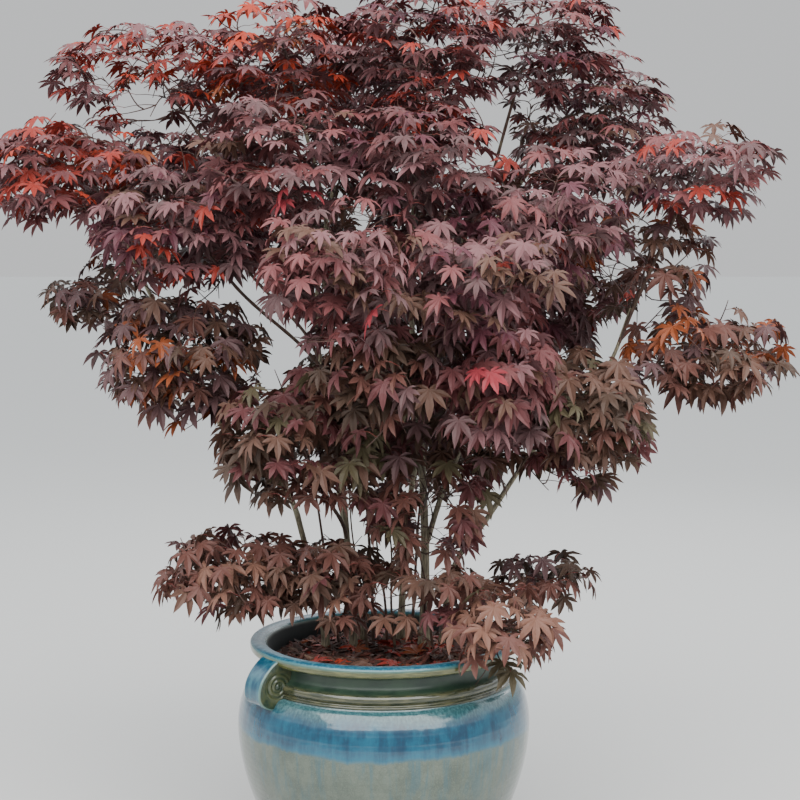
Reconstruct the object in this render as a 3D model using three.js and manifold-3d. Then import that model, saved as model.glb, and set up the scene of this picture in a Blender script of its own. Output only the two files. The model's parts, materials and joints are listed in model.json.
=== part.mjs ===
// A shrub with deeply lobed red leaves in a round glazed pot: many slender stems, boughs and leaf masses.
// Millimetres, +Z up. The origin is the centre of the pot's flat underside, and the front faces -Y.
import * as THREE from "three";
import { mergeVertices } from "three/addons/utils/BufferGeometryUtils.js";
import Module from "manifold-3d";

const wasm = await Module();
wasm.setup();

// Pot: radii and heights of the outline, from the foot up to the rim.
const pot = {
  bellyRadius: 276,
  bellyHeight: 265,
  bellyDrop: 360,
  bellyPower: 1.8,
  shoulderRise: 85,
  shoulderRadius: 238,
  ridgeRadius: 241,
  ridgeHeight: 350,
  ridgeWidth: 3,
  ringRadius: 241,
  ringHeight: 364,
  ringHalfHeight: 8,
  neckRadius: 224,
  neckTop: 400,
  rimRadius: 252,
  rimBottom: 406,
  rimEdge: 422,
  crestRadius: 240,
  crestHeight: 426,
  mouthRadius: 220,
  lipDrop: 3,
  lipTaper: 6,
  mouthDrop: 15,
  rounding: 4,
  wall: 12,
  floor: 16,
  cove: 14,
  outerHeights: [0, 60, 125, 195, 265, 300, 325, 340],
  innerHeights: [320, 265, 150, 60],
  sides: 28,
};
const drain = { holes: 3, holeRadius: 8, circleRadius: 62, sides: 10 };
const soil = { top: 392, edgeTop: 385, flatRadius: 150 };
const handle = { azimuth: 215, width: 54, top: 419, outerRadius: 291, bottom: 322, innerRadius: 205 };
// How far the side view of a handle rounds off at its crown, shoulder, waist, heel and toe.
const scroll = {
  crown: 12, crownDrop: 2, shoulder: 34, waist: 54, heel: 16, toe: 18, overlap: 3, segments: 5,
};

// Clearance is the gap kept where two pieces meet, and berth the room that leaves keep round limbs.
const clearance = 0.3;
const berth = 1.2;
const smallestEdge = 0.06;
// Two solids meet where they share more than this volume, and corners closer than this are one.
const sharedVolume = 1e-6;
const weldDistance = 1e-4;
// A sound solid has no edge and no face narrower than these.
const sound = { edge: 0.006, width: 0.0012 };
const seeds = { first: 1000, step: 100, least: 8, most: 40, faces: 470 };

// Stems rise from the soil through the points of their route to a tip. Lengths in millimetres.
const stems = [
  { name: "main_stem", foot: [78, 45], footRadius: 9.5, tipRadius: 3.2,
    route: [[79, 30, 595], [71, 10, 780], [52, -8, 1050], [62, -30, 1380]] },
  { name: "left_stem", foot: [-58, 38], footRadius: 6.5, tipRadius: 3.2,
    route: [[-69, 20, 610], [-92, 5, 900], [-108, 0, 1220], [-150, -10, 1400]] },
  { name: "far_left_stem", foot: [-112, 34], footRadius: 6.5, tipRadius: 3.2,
    route: [
      [-153, 30, 610], [-182, 4, 700], [-262, -16, 772],
      [-341, -16, 894], [-440, 20, 1080], [-500, 25, 1215]] },
  { name: "right_stem", foot: [116, 66], footRadius: 6.5, tipRadius: 3.2,
    route: [[138, 50, 555], [198, 40, 645], [290, 20, 786], [420, 26, 930], [468, 36, 1045]] },
  { name: "rear_right_stem", foot: [34, 112], footRadius: 7, tipRadius: 3.2,
    route: [[58, 170, 700], [150, 262, 1080], [300, 315, 1320]] },
  { name: "rear_left_stem", foot: [-42, 104], footRadius: 6.5, tipRadius: 3.2,
    route: [[-92, 180, 700], [-135, 280, 1050], [-95, 365, 1330]] },
];
const leader = { name: "right_leader", parent: "main_stem", at: 0.2, tipRadius: 3.2,
  route: [[112, 12, 700], [146, 0, 790], [190, -40, 1000], [238, -85, 1125]] };
const flare = { swell: 0.55, height: 26 };
const limbSides = { stem: 7, bough: 5 };
const limbStep = { stem: 105, bough: 85 };
// Sideways bows that a bough or a spine tries in turn, until nothing is in its way.
const bows = [0, 30, -30, 60, -60, 90, -90];
const boughRadius = { base: 0.72, least: 3.4, tip: 3 };
// A bough leaves and arrives straight for a share of its span, and goes a little way into its mass.
const boughWay = { straight: 0.35, entry: 4, trialSteps: 8 };
const taperPower = 0.8;

// Leaf masses. Each has its centre, its half sizes and the limb that carries it: at is the share of
// that limb's length, tip means the limb runs straight into it, and side that it grows off the limb.
const masses = [
  { name: "left_tip", centre: [-598, 20, 1299], half: [176, 178, 103], limb: "far_left_stem", seat: "tip" },
  { name: "left_crest", centre: [-424, 100, 1480], half: [201, 189, 105], limb: "left_stem", at: 0.62 },
  { name: "left_middle", centre: [-356, -100, 1200], half: [161, 168, 128], limb: "left_stem", at: 0.46 },
  { name: "left_small", centre: [-540, 150, 1062], half: [109, 120, 90],
    limb: "far_left_stem", seat: "side", at: 0.72 },
  { name: "left_low", centre: [-372, -50, 966], half: [156, 158, 126],
    limb: "far_left_stem", seat: "side", at: 0.55 },
  { name: "left_inner", centre: [-148, -160, 818], half: [149, 158, 138], limb: "left_stem", at: 0.2 },
  { name: "skirt_left", centre: [-281, -50, 556], half: [140, 130, 82], limb: "far_left_stem", at: 0.12 },
  { name: "skirt_middle", centre: [-99, -70, 548], half: [100, 110, 102],
    limb: "left_stem", seat: "side", at: 0.1 },
  { name: "crest_left", centre: [-180, -20, 1509], half: [149, 178, 111], limb: "left_stem", seat: "tip" },
  { name: "crest", centre: [66, -50, 1513], half: [155, 189, 131], limb: "main_stem", seat: "tip" },
  { name: "upper_left", centre: [-171, -180, 1320], half: [153, 158, 112], limb: "left_stem", at: 0.66 },
  { name: "upper_centre", centre: [64, -200, 1302], half: [141, 168, 124], limb: "main_stem", at: 0.68 },
  { name: "centre_left", centre: [-55, -340, 1114], half: [149, 168, 131], limb: "main_stem", at: 0.48 },
  { name: "centre_right", centre: [154, -300, 1097], half: [148, 168, 125],
    limb: "right_leader", at: 0.52 },
  { name: "middle_low_left", centre: [-14, -270, 951], half: [124, 147, 121], limb: "main_stem", at: 0.36 },
  { name: "middle_low_right", centre: [167, -240, 923], half: [131, 158, 128],
    limb: "right_leader", at: 0.34 },
  { name: "right_low", centre: [346, -120, 850], half: [141, 158, 132],
    limb: "right_stem", seat: "side", at: 0.5 },
  { name: "lower_centre", centre: [85, -100, 725], half: [138, 136, 140],
    limb: "main_stem", seat: "side", at: 0.28 },
  { name: "skirt_front", centre: [76, -120, 539], half: [109, 115, 85],
    limb: "main_stem", seat: "side", at: 0.07 },
  { name: "skirt_right", centre: [207, -215, 489], half: [94, 101, 89], limb: "right_stem", at: 0.07 },
  { name: "twig_right", centre: [302, 60, 521], half: [103, 100, 65], limb: "right_stem", at: 0.14 },
  { name: "right_upper", centre: [288, -120, 1217], half: [151, 168, 128],
    limb: "right_leader", seat: "tip" },
  { name: "arm_top", centre: [573, -20, 1298], half: [150, 158, 89], limb: "right_stem", at: 0.9 },
  { name: "right_middle", centre: [499, 80, 1132], half: [128, 147, 108], limb: "right_stem", seat: "tip" },
  { name: "arm_low", centre: [604, -10, 965], half: [167, 158, 92],
    limb: "right_stem", seat: "side", at: 0.7 },
  { name: "rear_crest_right", centre: [421, 330, 1408], half: [166, 189, 152],
    limb: "rear_right_stem", seat: "tip" },
  { name: "crest_right", centre: [294, 180, 1582], half: [150, 189, 126],
    limb: "rear_right_stem", at: 0.7 },
  { name: "rear_left", centre: [-385, 370, 1258], half: [228, 225, 182], limb: "rear_left_stem", at: 0.55 },
  { name: "rear_top", centre: [-69, 360, 1464], half: [204, 225, 151],
    limb: "rear_left_stem", seat: "tip" },
  { name: "rear_middle", centre: [36, 455, 1132], half: [249, 225, 190], limb: "rear_left_stem", at: 0.45 },
  { name: "rear_right", centre: [345, 350, 1105], half: [165, 235, 176], limb: "rear_right_stem", at: 0.5 },
  { name: "rear_low", centre: [40, 310, 835], half: [250, 215, 166],
    limb: "rear_right_stem", seat: "side", at: 0.36 },
];
// Growth inside a mass: side twigs end on a shell at a share of its half sizes, turned by the golden angle.
const growth = {
  twigs: 5, shell: 0.66, highest: 0.9, lowest: -0.6, goldenTurn: 2.4,
  forward: 0.2, firstNode: 0.2, lastNode: 0.95,
  spineEnd: 0.55, spineStraight: 0.7, spineSteps: 3, rayStep: 6, samples: 20,
};
const twig = { seatShare: 0.9, baseShare: 0.45, tip: 1, spineTip: 2.4, sides: 3 };
const leaf = {
  lengths: [190, 165, 142, 120, 100, 82, 66], thickness: 5, tilt: 0.8, ahead: 0.55,
  pairAt: 0.8, pairStep: 4, endPairAt: [0.9, 0.96], most: 9,
};
// Turns about the vertical and slopes that a leaf tries in turn, until it fits.
const leafTurns = [0, 0.3, -0.3, 0.6, -0.6];
const leafHangs = [0.8, 0.35, 1.4];
const leafTries = leafTurns.flatMap((turn) => leafHangs.map((hang) => [turn, hang]));
// Outline of one leaf: angle from the middle lobe in degrees, and reach as a share of the leaf's length.
const leafOutline = [
  [180, 0.4], [-86, 0.42], [-45, 0.56], [-22, 0.26],
  [0, 0.6], [22, 0.26], [45, 0.56], [86, 0.42],
];

const colours = {
  glaze: 0x2f7f93, soil: 0x3a2119, bark: 0x6a6350, bough: 0x4a3a33,
  tints: [0x8e2f26, 0x7a2e30, 0x6b3238, 0x5c3034, 0x59392c],
};

const group = new THREE.Group();
const solids = new Map();

// Solids from three.js geometry and back.
function solidFrom(geometry) {
  const bare = new THREE.BufferGeometry();
  bare.setAttribute("position", geometry.getAttribute("position").clone());
  if (geometry.index) bare.setIndex(geometry.index.clone());
  const merged = mergeVertices(bare, weldDistance);
  const vertProperties = new Float32Array(merged.attributes.position.array);
  const triVerts = new Uint32Array(merged.index.array);
  return new wasm.Manifold(new wasm.Mesh({ numProp: 3, vertProperties, triVerts }));
}

function geometryFrom(solid) {
  const mesh = solid.getMesh();
  const geometry = new THREE.BufferGeometry();
  geometry.setAttribute("position", new THREE.BufferAttribute(new Float32Array(mesh.vertProperties), 3));
  geometry.setIndex(new THREE.BufferAttribute(new Uint32Array(mesh.triVerts), 1));
  return geometry.toNonIndexed();
}

// The largest closed surface of a solid, which drops loose scraps and fills sealed hollows.
function largestBody(solid) {
  const bodies = solid.decompose();
  return bodies.reduce((best, body) => (body.volume() > best.volume() ? body : best));
}

function addPiece(name, solid, colour, roughness) {
  const geometry = geometryFrom(solid);
  geometry.computeVertexNormals();
  const finish = { color: colour, roughness, metalness: 0, flatShading: true };
  const material = new THREE.MeshStandardMaterial(finish);
  const mesh = new THREE.Mesh(geometry, material);
  mesh.name = name;
  group.add(mesh);
  solids.set(name, solid);
}

function lathe(points, sides) {
  const outline = points.map(([radius, height]) => new THREE.Vector2(radius, height));
  const geometry = new THREE.LatheGeometry(outline, sides);
  geometry.rotateX(Math.PI / 2);
  return solidFrom(geometry);
}

// Outer radius of the belly and shoulder at a height.
function bellyRadiusAt(height) {
  if (height > pot.bellyHeight) {
    const share = (height - pot.bellyHeight) / pot.shoulderRise;
    const round = Math.sqrt(Math.max(0, 1 - share * share));
    return pot.shoulderRadius + (pot.bellyRadius - pot.shoulderRadius) * round;
  }
  const share = (pot.bellyHeight - height) / pot.bellyDrop;
  return pot.bellyRadius * Math.pow(1 - Math.pow(share, pot.bellyPower), 1 / pot.bellyPower);
}

// The pot's outer outline from the foot to the crest.
function outerOutline() {
  return [
    ...pot.outerHeights.map((height) => [bellyRadiusAt(height), height]),
    [pot.ridgeRadius, pot.ridgeHeight],
    [pot.ridgeRadius, pot.ridgeHeight + pot.ridgeWidth],
    [pot.ringRadius - pot.rounding, pot.ringHeight - pot.ringHalfHeight],
    [pot.ringRadius, pot.ringHeight],
    [pot.ringRadius - pot.rounding, pot.ringHeight + pot.ringHalfHeight],
    [pot.neckRadius, pot.ringHeight + 2 * pot.ringHalfHeight],
    [pot.neckRadius, pot.neckTop],
    [pot.rimRadius - pot.rounding, pot.rimBottom],
    [pot.rimRadius, pot.rimBottom + pot.rounding],
    [pot.rimRadius, pot.rimEdge],
    [pot.crestRadius, pot.crestHeight],
  ];
}

// An outline moved to its right-hand side by a distance, with mitred corners.
function offsetOutline(points, distance) {
  const normals = points.slice(1).map((point, index) => {
    const along = [point[0] - points[index][0], point[1] - points[index][1]];
    const length = Math.hypot(along[0], along[1]);
    return [along[1] / length, -along[0] / length];
  });
  return points.map((point, index) => {
    const before = normals[Math.max(0, index - 1)];
    const after = normals[Math.min(normals.length - 1, index)];
    const mitre = distance / (1 + before[0] * after[0] + before[1] * after[1]);
    return [point[0] + mitre * (before[0] + after[0]), point[1] + mitre * (before[1] + after[1])];
  });
}

// The room that the whole pot takes, filled in and swollen by a distance.
function potKeepOut(distance) {
  const outline = offsetOutline(outerOutline(), distance);
  return lathe([[0, -1], [outline[0][0], -1], ...outline, [0, pot.crestHeight + distance]], pot.sides);
}

// The inside of the pot from under its mouth down to its floor.
function innerOutline() {
  return [
    [pot.neckRadius - pot.wall, pot.neckTop - pot.mouthDrop],
    [pot.neckRadius - pot.wall, pot.ridgeHeight],
    ...pot.innerHeights.map((height) => [bellyRadiusAt(height) - pot.wall, height]),
    [bellyRadiusAt(pot.floor) - pot.wall - pot.cove, pot.floor],
    [0, pot.floor],
  ];
}

function makePot() {
  const lip = [
    [pot.mouthRadius, pot.rimEdge - pot.lipDrop],
    [pot.mouthRadius - pot.lipTaper, pot.neckTop + pot.rounding],
  ];
  const outline = [[0, 0], ...outerOutline(), ...lip, ...innerOutline()];
  let body = lathe(outline, pot.sides);
  for (let index = 0; index < drain.holes; index += 1) {
    const turn = (2 * Math.PI * index) / drain.holes;
    const { holeRadius, sides } = drain;
    const hole = new THREE.CylinderGeometry(holeRadius, holeRadius, 3 * pot.floor, sides);
    hole.rotateX(Math.PI / 2);
    hole.translate(drain.circleRadius * Math.cos(turn), drain.circleRadius * Math.sin(turn), 0);
    body = body.subtract(solidFrom(hole));
  }
  return body;
}

function makeSoil() {
  const sides = offsetOutline(innerOutline(), clearance).reverse().slice(1, -1);
  const edge = [sides[sides.length - 1][0], soil.edgeTop];
  return lathe([[0, sides[0][1]], ...sides, edge, [soil.flatRadius, soil.top], [0, soil.top]], pot.sides);
}

// A scroll handle: the side view of the strap and its roll, drawn across the strap and cut clear of the pot.
function makeHandle(azimuth) {
  const side = new THREE.Shape();
  side.moveTo(handle.innerRadius, handle.top);
  side.lineTo(pot.rimRadius - scroll.overlap, handle.top);
  side.bezierCurveTo(
    handle.outerRadius - scroll.crown, handle.top - scroll.crownDrop,
    handle.outerRadius, handle.top - scroll.shoulder,
    handle.outerRadius, handle.top - scroll.waist);
  side.bezierCurveTo(
    handle.outerRadius, handle.bottom + scroll.heel,
    handle.outerRadius - scroll.toe, handle.bottom,
    pot.rimRadius, handle.bottom);
  side.lineTo(handle.innerRadius, handle.bottom);
  const strap = { depth: handle.width, bevelEnabled: false, curveSegments: scroll.segments };
  const geometry = new THREE.ExtrudeGeometry(side, strap);
  geometry.translate(0, 0, -handle.width / 2);
  geometry.rotateX(Math.PI / 2);
  geometry.rotateZ(THREE.MathUtils.degToRad(azimuth));
  return largestBody(solidFrom(geometry).subtract(potKeepOut(clearance)));
}

// A closed tapering tube round a curve, with a flat end at each end. radiusAt takes the share of the length.
function taperedTube(curve, radiusAt, sides, steps, levelFoot) {
  const frames = curve.computeFrenetFrames(steps, false);
  const positions = [];
  const index = [];
  for (let step = 0; step <= steps; step += 1) {
    const share = step / steps;
    const middle = curve.getPointAt(share);
    for (let side = 0; side < sides; side += 1) {
      const turn = (2 * Math.PI * side) / sides;
      const spot = middle.clone();
      spot.addScaledVector(frames.normals[step], radiusAt(share) * Math.cos(turn));
      spot.addScaledVector(frames.binormals[step], radiusAt(share) * Math.sin(turn));
      if (levelFoot && step === 0) spot.z = middle.z;
      positions.push(spot.x, spot.y, spot.z);
    }
  }
  const last = steps * sides;
  for (let side = 0; side < sides; side += 1) {
    const next = (side + 1) % sides;
    for (let ring = 0; ring < last; ring += sides) {
      index.push(ring + side, ring + next, ring + sides + next);
      index.push(ring + side, ring + sides + next, ring + sides + side);
    }
    if (side > 1) {
      index.push(0, side, side - 1);
      index.push(last, last + side - 1, last + side);
    }
  }
  const geometry = new THREE.BufferGeometry();
  geometry.setAttribute("position", new THREE.Float32BufferAttribute(positions, 3));
  geometry.setIndex(index);
  return solidFrom(geometry);
}

const vector = (values) => new THREE.Vector3(...values);
const limbs = new Map();
const obstacles = [];

function boxesMeet(one, two) {
  return [0, 1, 2].every((axis) => one.min[axis] <= two.max[axis] && two.min[axis] <= one.max[axis]);
}

// Whether a solid touches anything already standing, leaving out the named one.
function touches(solid, spared) {
  const box = solid.boundingBox();
  return obstacles.some((other) => other.name !== spared && boxesMeet(box, other.box)
    && solid.intersect(other.solid).volume() > sharedVolume);
}

function addObstacle(name, solid) {
  obstacles.push({ name, solid, box: solid.boundingBox() });
}

// A limb keeps its curve and radii, so that others can be cut clear of it or sit on its tip.
function addLimb(name, curve, radiusAt, options) {
  const { sides, stepLength, parent, colour, levelFoot } = options;
  const steps = Math.max(3, Math.round(curve.getLength() / stepLength));
  const grown = (grow) => taperedTube(curve, (share) => radiusAt(share) + grow, sides, steps, levelFoot);
  let solid = grown(0);
  if (parent) solid = largestBody(solid.subtract(limbs.get(parent).grown(clearance)));
  limbs.set(name, { curve, radiusAt, grown });
  addPiece(name, solid, colour, 0.85);
  addObstacle(name, grown(berth));
}

function makeStem(stem) {
  const foot = new THREE.Vector3(stem.foot[0], stem.foot[1], soil.top + clearance);
  const lift = new THREE.Vector3(stem.foot[0], stem.foot[1], soil.top + flare.height);
  const curve = new THREE.CatmullRomCurve3([foot, lift, ...stem.route.map(vector)], false, "centripetal");
  const length = curve.getLength();
  const radiusAt = (share) => {
    const taper = THREE.MathUtils.lerp(stem.footRadius, stem.tipRadius, Math.pow(share, taperPower));
    return taper * (1 + flare.swell * Math.exp((-share * length) / flare.height));
  };
  addLimb(stem.name, curve, radiusAt, {
    sides: limbSides.stem, stepLength: limbStep.stem, colour: colours.bark, levelFoot: true });
}

// A bough's radii: a share of its parent's where it leaves it, down to its own tip.
function boughTaper(parent, at, tipRadius) {
  const base = Math.max(boughRadius.least, boughRadius.base * parent.radiusAt(at));
  return (share) => THREE.MathUtils.lerp(base, tipRadius, share);
}

function makeLeader() {
  const parent = limbs.get(leader.parent);
  const start = parent.curve.getPointAt(leader.at);
  const curve = new THREE.CatmullRomCurve3([start, ...leader.route.map(vector)], false, "centripetal");
  addLimb(leader.name, curve, boughTaper(parent, leader.at, leader.tipRadius), {
    sides: limbSides.stem, stepLength: limbStep.stem, parent: leader.parent, colour: colours.bark });
}

// The space of a mass: inside its ellipsoid, and on its own side of the flat border with each neighbour.
function weightOf(mass) {
  return Math.pow(mass.half[0] * mass.half[1] * mass.half[2], 2 / 3);
}

function borderDistance(mass, other, point) {
  const own = vector(mass.centre);
  const theirs = vector(other.centre);
  const ownPower = point.distanceToSquared(own) - weightOf(mass);
  const theirPower = point.distanceToSquared(theirs) - weightOf(other);
  return (theirPower - ownPower) / (2 * own.distanceTo(theirs));
}

function insideSpace(mass, point) {
  const [x, y, z] = point.clone().sub(vector(mass.centre)).divide(vector(mass.half)).toArray();
  if (x * x + y * y + z * z > 1) return false;
  return masses.every((other) => other === mass || borderDistance(mass, other, point) > berth);
}

// How far a ray from a point stays inside the space.
function reachInside(mass, from, direction) {
  const step = growth.rayStep;
  let length = 0;
  while (insideSpace(mass, from.clone().addScaledVector(direction, length + step))) length += step;
  return length;
}

// Seeded random numbers between 0 and 1.
function randomFrom(seed) {
  let state = seed;
  return () => {
    state = (state + 0x6d2b79f5) | 0;
    let mixed = Math.imul(state ^ (state >>> 15), 1 | state);
    mixed = (mixed + Math.imul(mixed ^ (mixed >>> 7), 61 | mixed)) ^ mixed;
    return ((mixed ^ (mixed >>> 14)) >>> 0) / 4294967296;
  };
}

// A bough from the side of its parent to the edge of the mass, bowed aside where the straight way is taken.
function makeBough(mass) {
  const parent = limbs.get(mass.limb);
  const start = parent.curve.getPointAt(mass.at);
  const heading = parent.curve.getTangentAt(mass.at);
  const centre = vector(mass.centre);
  const inward = centre.clone().sub(start).normalize();
  const edge = reachInside(mass, centre, inward.clone().negate());
  const end = centre.clone().addScaledVector(inward, boughWay.entry - edge);
  const span = start.distanceTo(end);
  const sideways = new THREE.Vector3().crossVectors(inward, new THREE.Vector3(0, 0, 1)).normalize();
  const radiusAt = boughTaper(parent, mass.at, boughRadius.tip);
  const name = `${mass.name}_bough`;
  for (const bow of bows) {
    const bend = start.clone().addScaledVector(heading, boughWay.straight * span);
    const arrive = end.clone().addScaledVector(inward, -boughWay.straight * span);
    bend.addScaledVector(sideways, bow);
    arrive.addScaledVector(sideways, bow);
    const curve = new THREE.CubicBezierCurve3(start, bend, arrive, end);
    const tube = taperedTube(curve, radiusAt, limbSides.bough, boughWay.trialSteps, false);
    if (touches(tube, mass.limb)) continue;
    addLimb(name, curve, radiusAt, {
      sides: limbSides.bough, stepLength: limbStep.bough, parent: mass.limb, colour: colours.bough });
    return name;
  }
  throw new Error(`${name} has no free way`);
}

// A straight twig from one point to another.
function twigSolid(from, to, fromRadius) {
  const curve = new THREE.LineCurve3(from, to);
  const radiusAt = (share) => THREE.MathUtils.lerp(fromRadius, twig.tip, share);
  return taperedTube(curve, radiusAt, twig.sides, 1, false);
}

// A flat lobed leaf: its outline lies in one plane, with a point above and one below its hub.
function leafSolid(root, pointing, face, length) {
  const ahead = pointing.clone().normalize();
  const across = new THREE.Vector3().crossVectors(face, ahead).normalize();
  const normal = new THREE.Vector3().crossVectors(ahead, across);
  const hub = root.clone().addScaledVector(ahead, leafOutline[0][1] * length);
  const rim = leafOutline.map(([angle, reach]) => {
    const turn = THREE.MathUtils.degToRad(angle);
    return hub.clone().addScaledVector(ahead, reach * length * Math.cos(turn))
      .addScaledVector(across, reach * length * Math.sin(turn));
  });
  const half = leaf.thickness / 2;
  const faces = [half, -half].map((lift) => hub.clone().addScaledVector(normal, lift));
  const points = [...faces, ...rim];
  const index = [];
  for (let side = 0; side < rim.length; side += 1) {
    const next = 2 + ((side + 1) % rim.length);
    index.push(0, 2 + side, next, 1, next, 2 + side);
  }
  const geometry = new THREE.BufferGeometry();
  const flat = points.flatMap((point) => point.toArray());
  geometry.setAttribute("position", new THREE.Float32BufferAttribute(flat, 3));
  geometry.setIndex(index);
  return { solid: solidFrom(geometry), points };
}

// The spine of a mass runs from its seat on the limb through the centre of its space.
function makeSpine(mass, limbName) {
  const limb = limbs.get(limbName);
  const centre = vector(mass.centre);
  const onSide = mass.seat === "side";
  const end = limb.curve.getPointAt(onSide ? mass.at : 1);
  const ahead = onSide ? centre.clone().sub(end).normalize() : limb.curve.getTangentAt(1);
  const seat = onSide ? end : end.clone().addScaledVector(ahead, clearance);
  const beyond = centre.clone().sub(seat).normalize();
  const farEnd = centre.clone().addScaledVector(beyond, growth.spineEnd * reachInside(mass, centre, beyond));
  const bend = seat.clone().addScaledVector(ahead, growth.spineStraight * seat.distanceTo(centre));
  const seatRadius = twig.seatShare * (onSide ? boughRadius.tip : limb.radiusAt(1));
  const radiusAt = (share) => THREE.MathUtils.lerp(seatRadius, twig.spineTip, share);
  const sideways = new THREE.Vector3().crossVectors(beyond, new THREE.Vector3(0, 0, 1)).normalize();
  for (const bow of bows) {
    const target = farEnd.clone().addScaledVector(sideways, bow);
    const curve = new THREE.QuadraticBezierCurve3(seat, bend, target);
    const whole = taperedTube(curve, radiusAt, twig.sides, growth.spineSteps, false);
    const solid = onSide ? largestBody(whole.subtract(limb.grown(clearance))) : whole;
    if (!touches(solid, limbName)) return { curve, radiusAt, solid, beyond };
  }
  throw new Error(`${mass.name} has no free way for its spine`);
}

// The share of a curve's length that lies nearest to a point.
function nearestShare(curve, point) {
  const shares = Array.from({ length: growth.samples + 1 }, (_, index) => index / growth.samples);
  const distances = shares.map((share) => curve.getPointAt(share).distanceTo(point));
  return shares[distances.indexOf(Math.min(...distances))];
}

// Whether no two corners lie so close together that they would be read as one, and no face is a sliver.
function isSound(solid) {
  const { vertProperties, triVerts } = solid.getMesh();
  const corner = (index) => new THREE.Vector3().fromArray(vertProperties, 3 * index);
  for (let first = 0; first < triVerts.length; first += 3) {
    const [a, b, c] = [0, 1, 2].map((step) => corner(triVerts[first + step]));
    const sides = [a.distanceTo(b), b.distanceTo(c), c.distanceTo(a)];
    const doubleArea = b.clone().sub(a).cross(c.clone().sub(a)).length();
    if (Math.min(...sides) < sound.edge) return false;
    if (doubleArea / Math.max(...sides) < sound.width) return false;
  }
  return true;
}

// One mass: a spine, side twigs that end on a shell inside its space, and leaves that hang from them.
function growMass(mass, limbName, seed) {
  const random = randomFrom(seed);
  const spine = makeSpine(mass, limbName);
  const wood = [spine.solid];
  const leaves = [];
  const up = new THREE.Vector3(0, 0, 1);

  // The largest leaf that fits, hanging out from a root, or none.
  const hangLeaf = (root, outward, ownTwig) => {
    if (leaves.length === leaf.most) return;
    for (const length of leaf.lengths) {
      for (const [turn, hang] of leafTries) {
        const away = outward.clone().applyAxisAngle(up, turn);
        const pointing = away.clone().addScaledVector(up, -hang);
        const made = leafSolid(root, pointing, up.clone().addScaledVector(away, leaf.tilt), length);
        if (!made.points.slice(3).every((point) => insideSpace(mass, point))) continue;
        if (touches(made.solid)) continue;
        const crossed = (other) => made.solid.intersect(other).volume() > sharedVolume;
        if (leaves.some((other) => other.root !== root && crossed(other.solid))) continue;
        if (wood.some((other) => other !== ownTwig && crossed(other))) continue;
        leaves.push({ root, solid: made.solid });
        return;
      }
    }
  };

  const phase = 2 * Math.PI * random();
  for (let order = 0; order < growth.twigs; order += 1) {
    const lift = THREE.MathUtils.lerp(growth.highest, growth.lowest, order / (growth.twigs - 1));
    const turn = phase + order * growth.goldenTurn;
    const flat = Math.sqrt(1 - lift * lift);
    const outward = new THREE.Vector3(flat * Math.cos(turn), flat * Math.sin(turn), lift);
    const shell = outward.clone().multiply(vector(mass.half)).multiplyScalar(growth.shell);
    const tip = vector(mass.centre).add(shell);
    const share = THREE.MathUtils.clamp(
      nearestShare(spine.curve, tip) - growth.forward, growth.firstNode, growth.lastNode);
    const node = spine.curve.getPointAt(share);
    const solid = twigSolid(node, tip, twig.baseShare * spine.radiusAt(share));
    if (!insideSpace(mass, tip) || touches(solid)) continue;
    wood.push(solid);
    const heading = tip.clone().sub(node).normalize();
    const level = heading.clone().setZ(0).normalize();
    const across = new THREE.Vector3().crossVectors(up, level);
    const pairRoot = node.clone().lerp(tip, leaf.pairAt);
    for (const hand of [-1, 1]) {
      const outwards = across.clone().multiplyScalar(hand).addScaledVector(level, leaf.ahead).normalize();
      hangLeaf(pairRoot.clone().addScaledVector(heading, leaf.pairStep * hand), outwards, solid);
    }
  }
  const level = spine.beyond.clone().setZ(0).normalize();
  const across = new THREE.Vector3().crossVectors(up, level);
  [-1, 1].forEach((hand, index) => {
    const outwards = across.clone().multiplyScalar(hand).add(level).normalize();
    hangLeaf(spine.curve.getPointAt(leaf.endPairAt[index]), outwards, spine.solid);
  });
  const joined = [...wood, ...leaves.map((other) => other.solid)].reduce((sum, solid) => sum.add(solid));
  return largestBody(joined.simplify(smallestEdge));
}

// Of several seeds, the sound mass within the budget of faces that has the most leaf is kept.
function makeMass(mass, order) {
  const limbName = mass.seat ? mass.limb : makeBough(mass);
  const tint = colours.tints[order % colours.tints.length];
  let best = null;
  for (let trial = 0; trial < seeds.most && !(best && trial >= seeds.least); trial += 1) {
    const solid = growMass(mass, limbName, seeds.first + seeds.step * order + trial);
    if (solid.numTri() > seeds.faces || !isSound(solid)) continue;
    if (!best || solid.surfaceArea() > best.surfaceArea()) best = solid;
  }
  if (!best) throw new Error(`${mass.name} never came out sound`);
  addPiece(`${mass.name}_leaves`, best, tint, 0.6);
}

addPiece("pot", makePot(), colours.glaze, 0.2);
addPiece("soil", makeSoil(), colours.soil, 0.95);
addPiece("handle_left", makeHandle(handle.azimuth), colours.glaze, 0.2);
addPiece("handle_right", makeHandle(handle.azimuth - 180), colours.glaze, 0.2);
addObstacle("pot", potKeepOut(berth));
addObstacle("handle_left", solids.get("handle_left"));
addObstacle("handle_right", solids.get("handle_right"));
stems.forEach(makeStem);
makeLeader();
masses.forEach(makeMass);

export default group;
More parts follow.
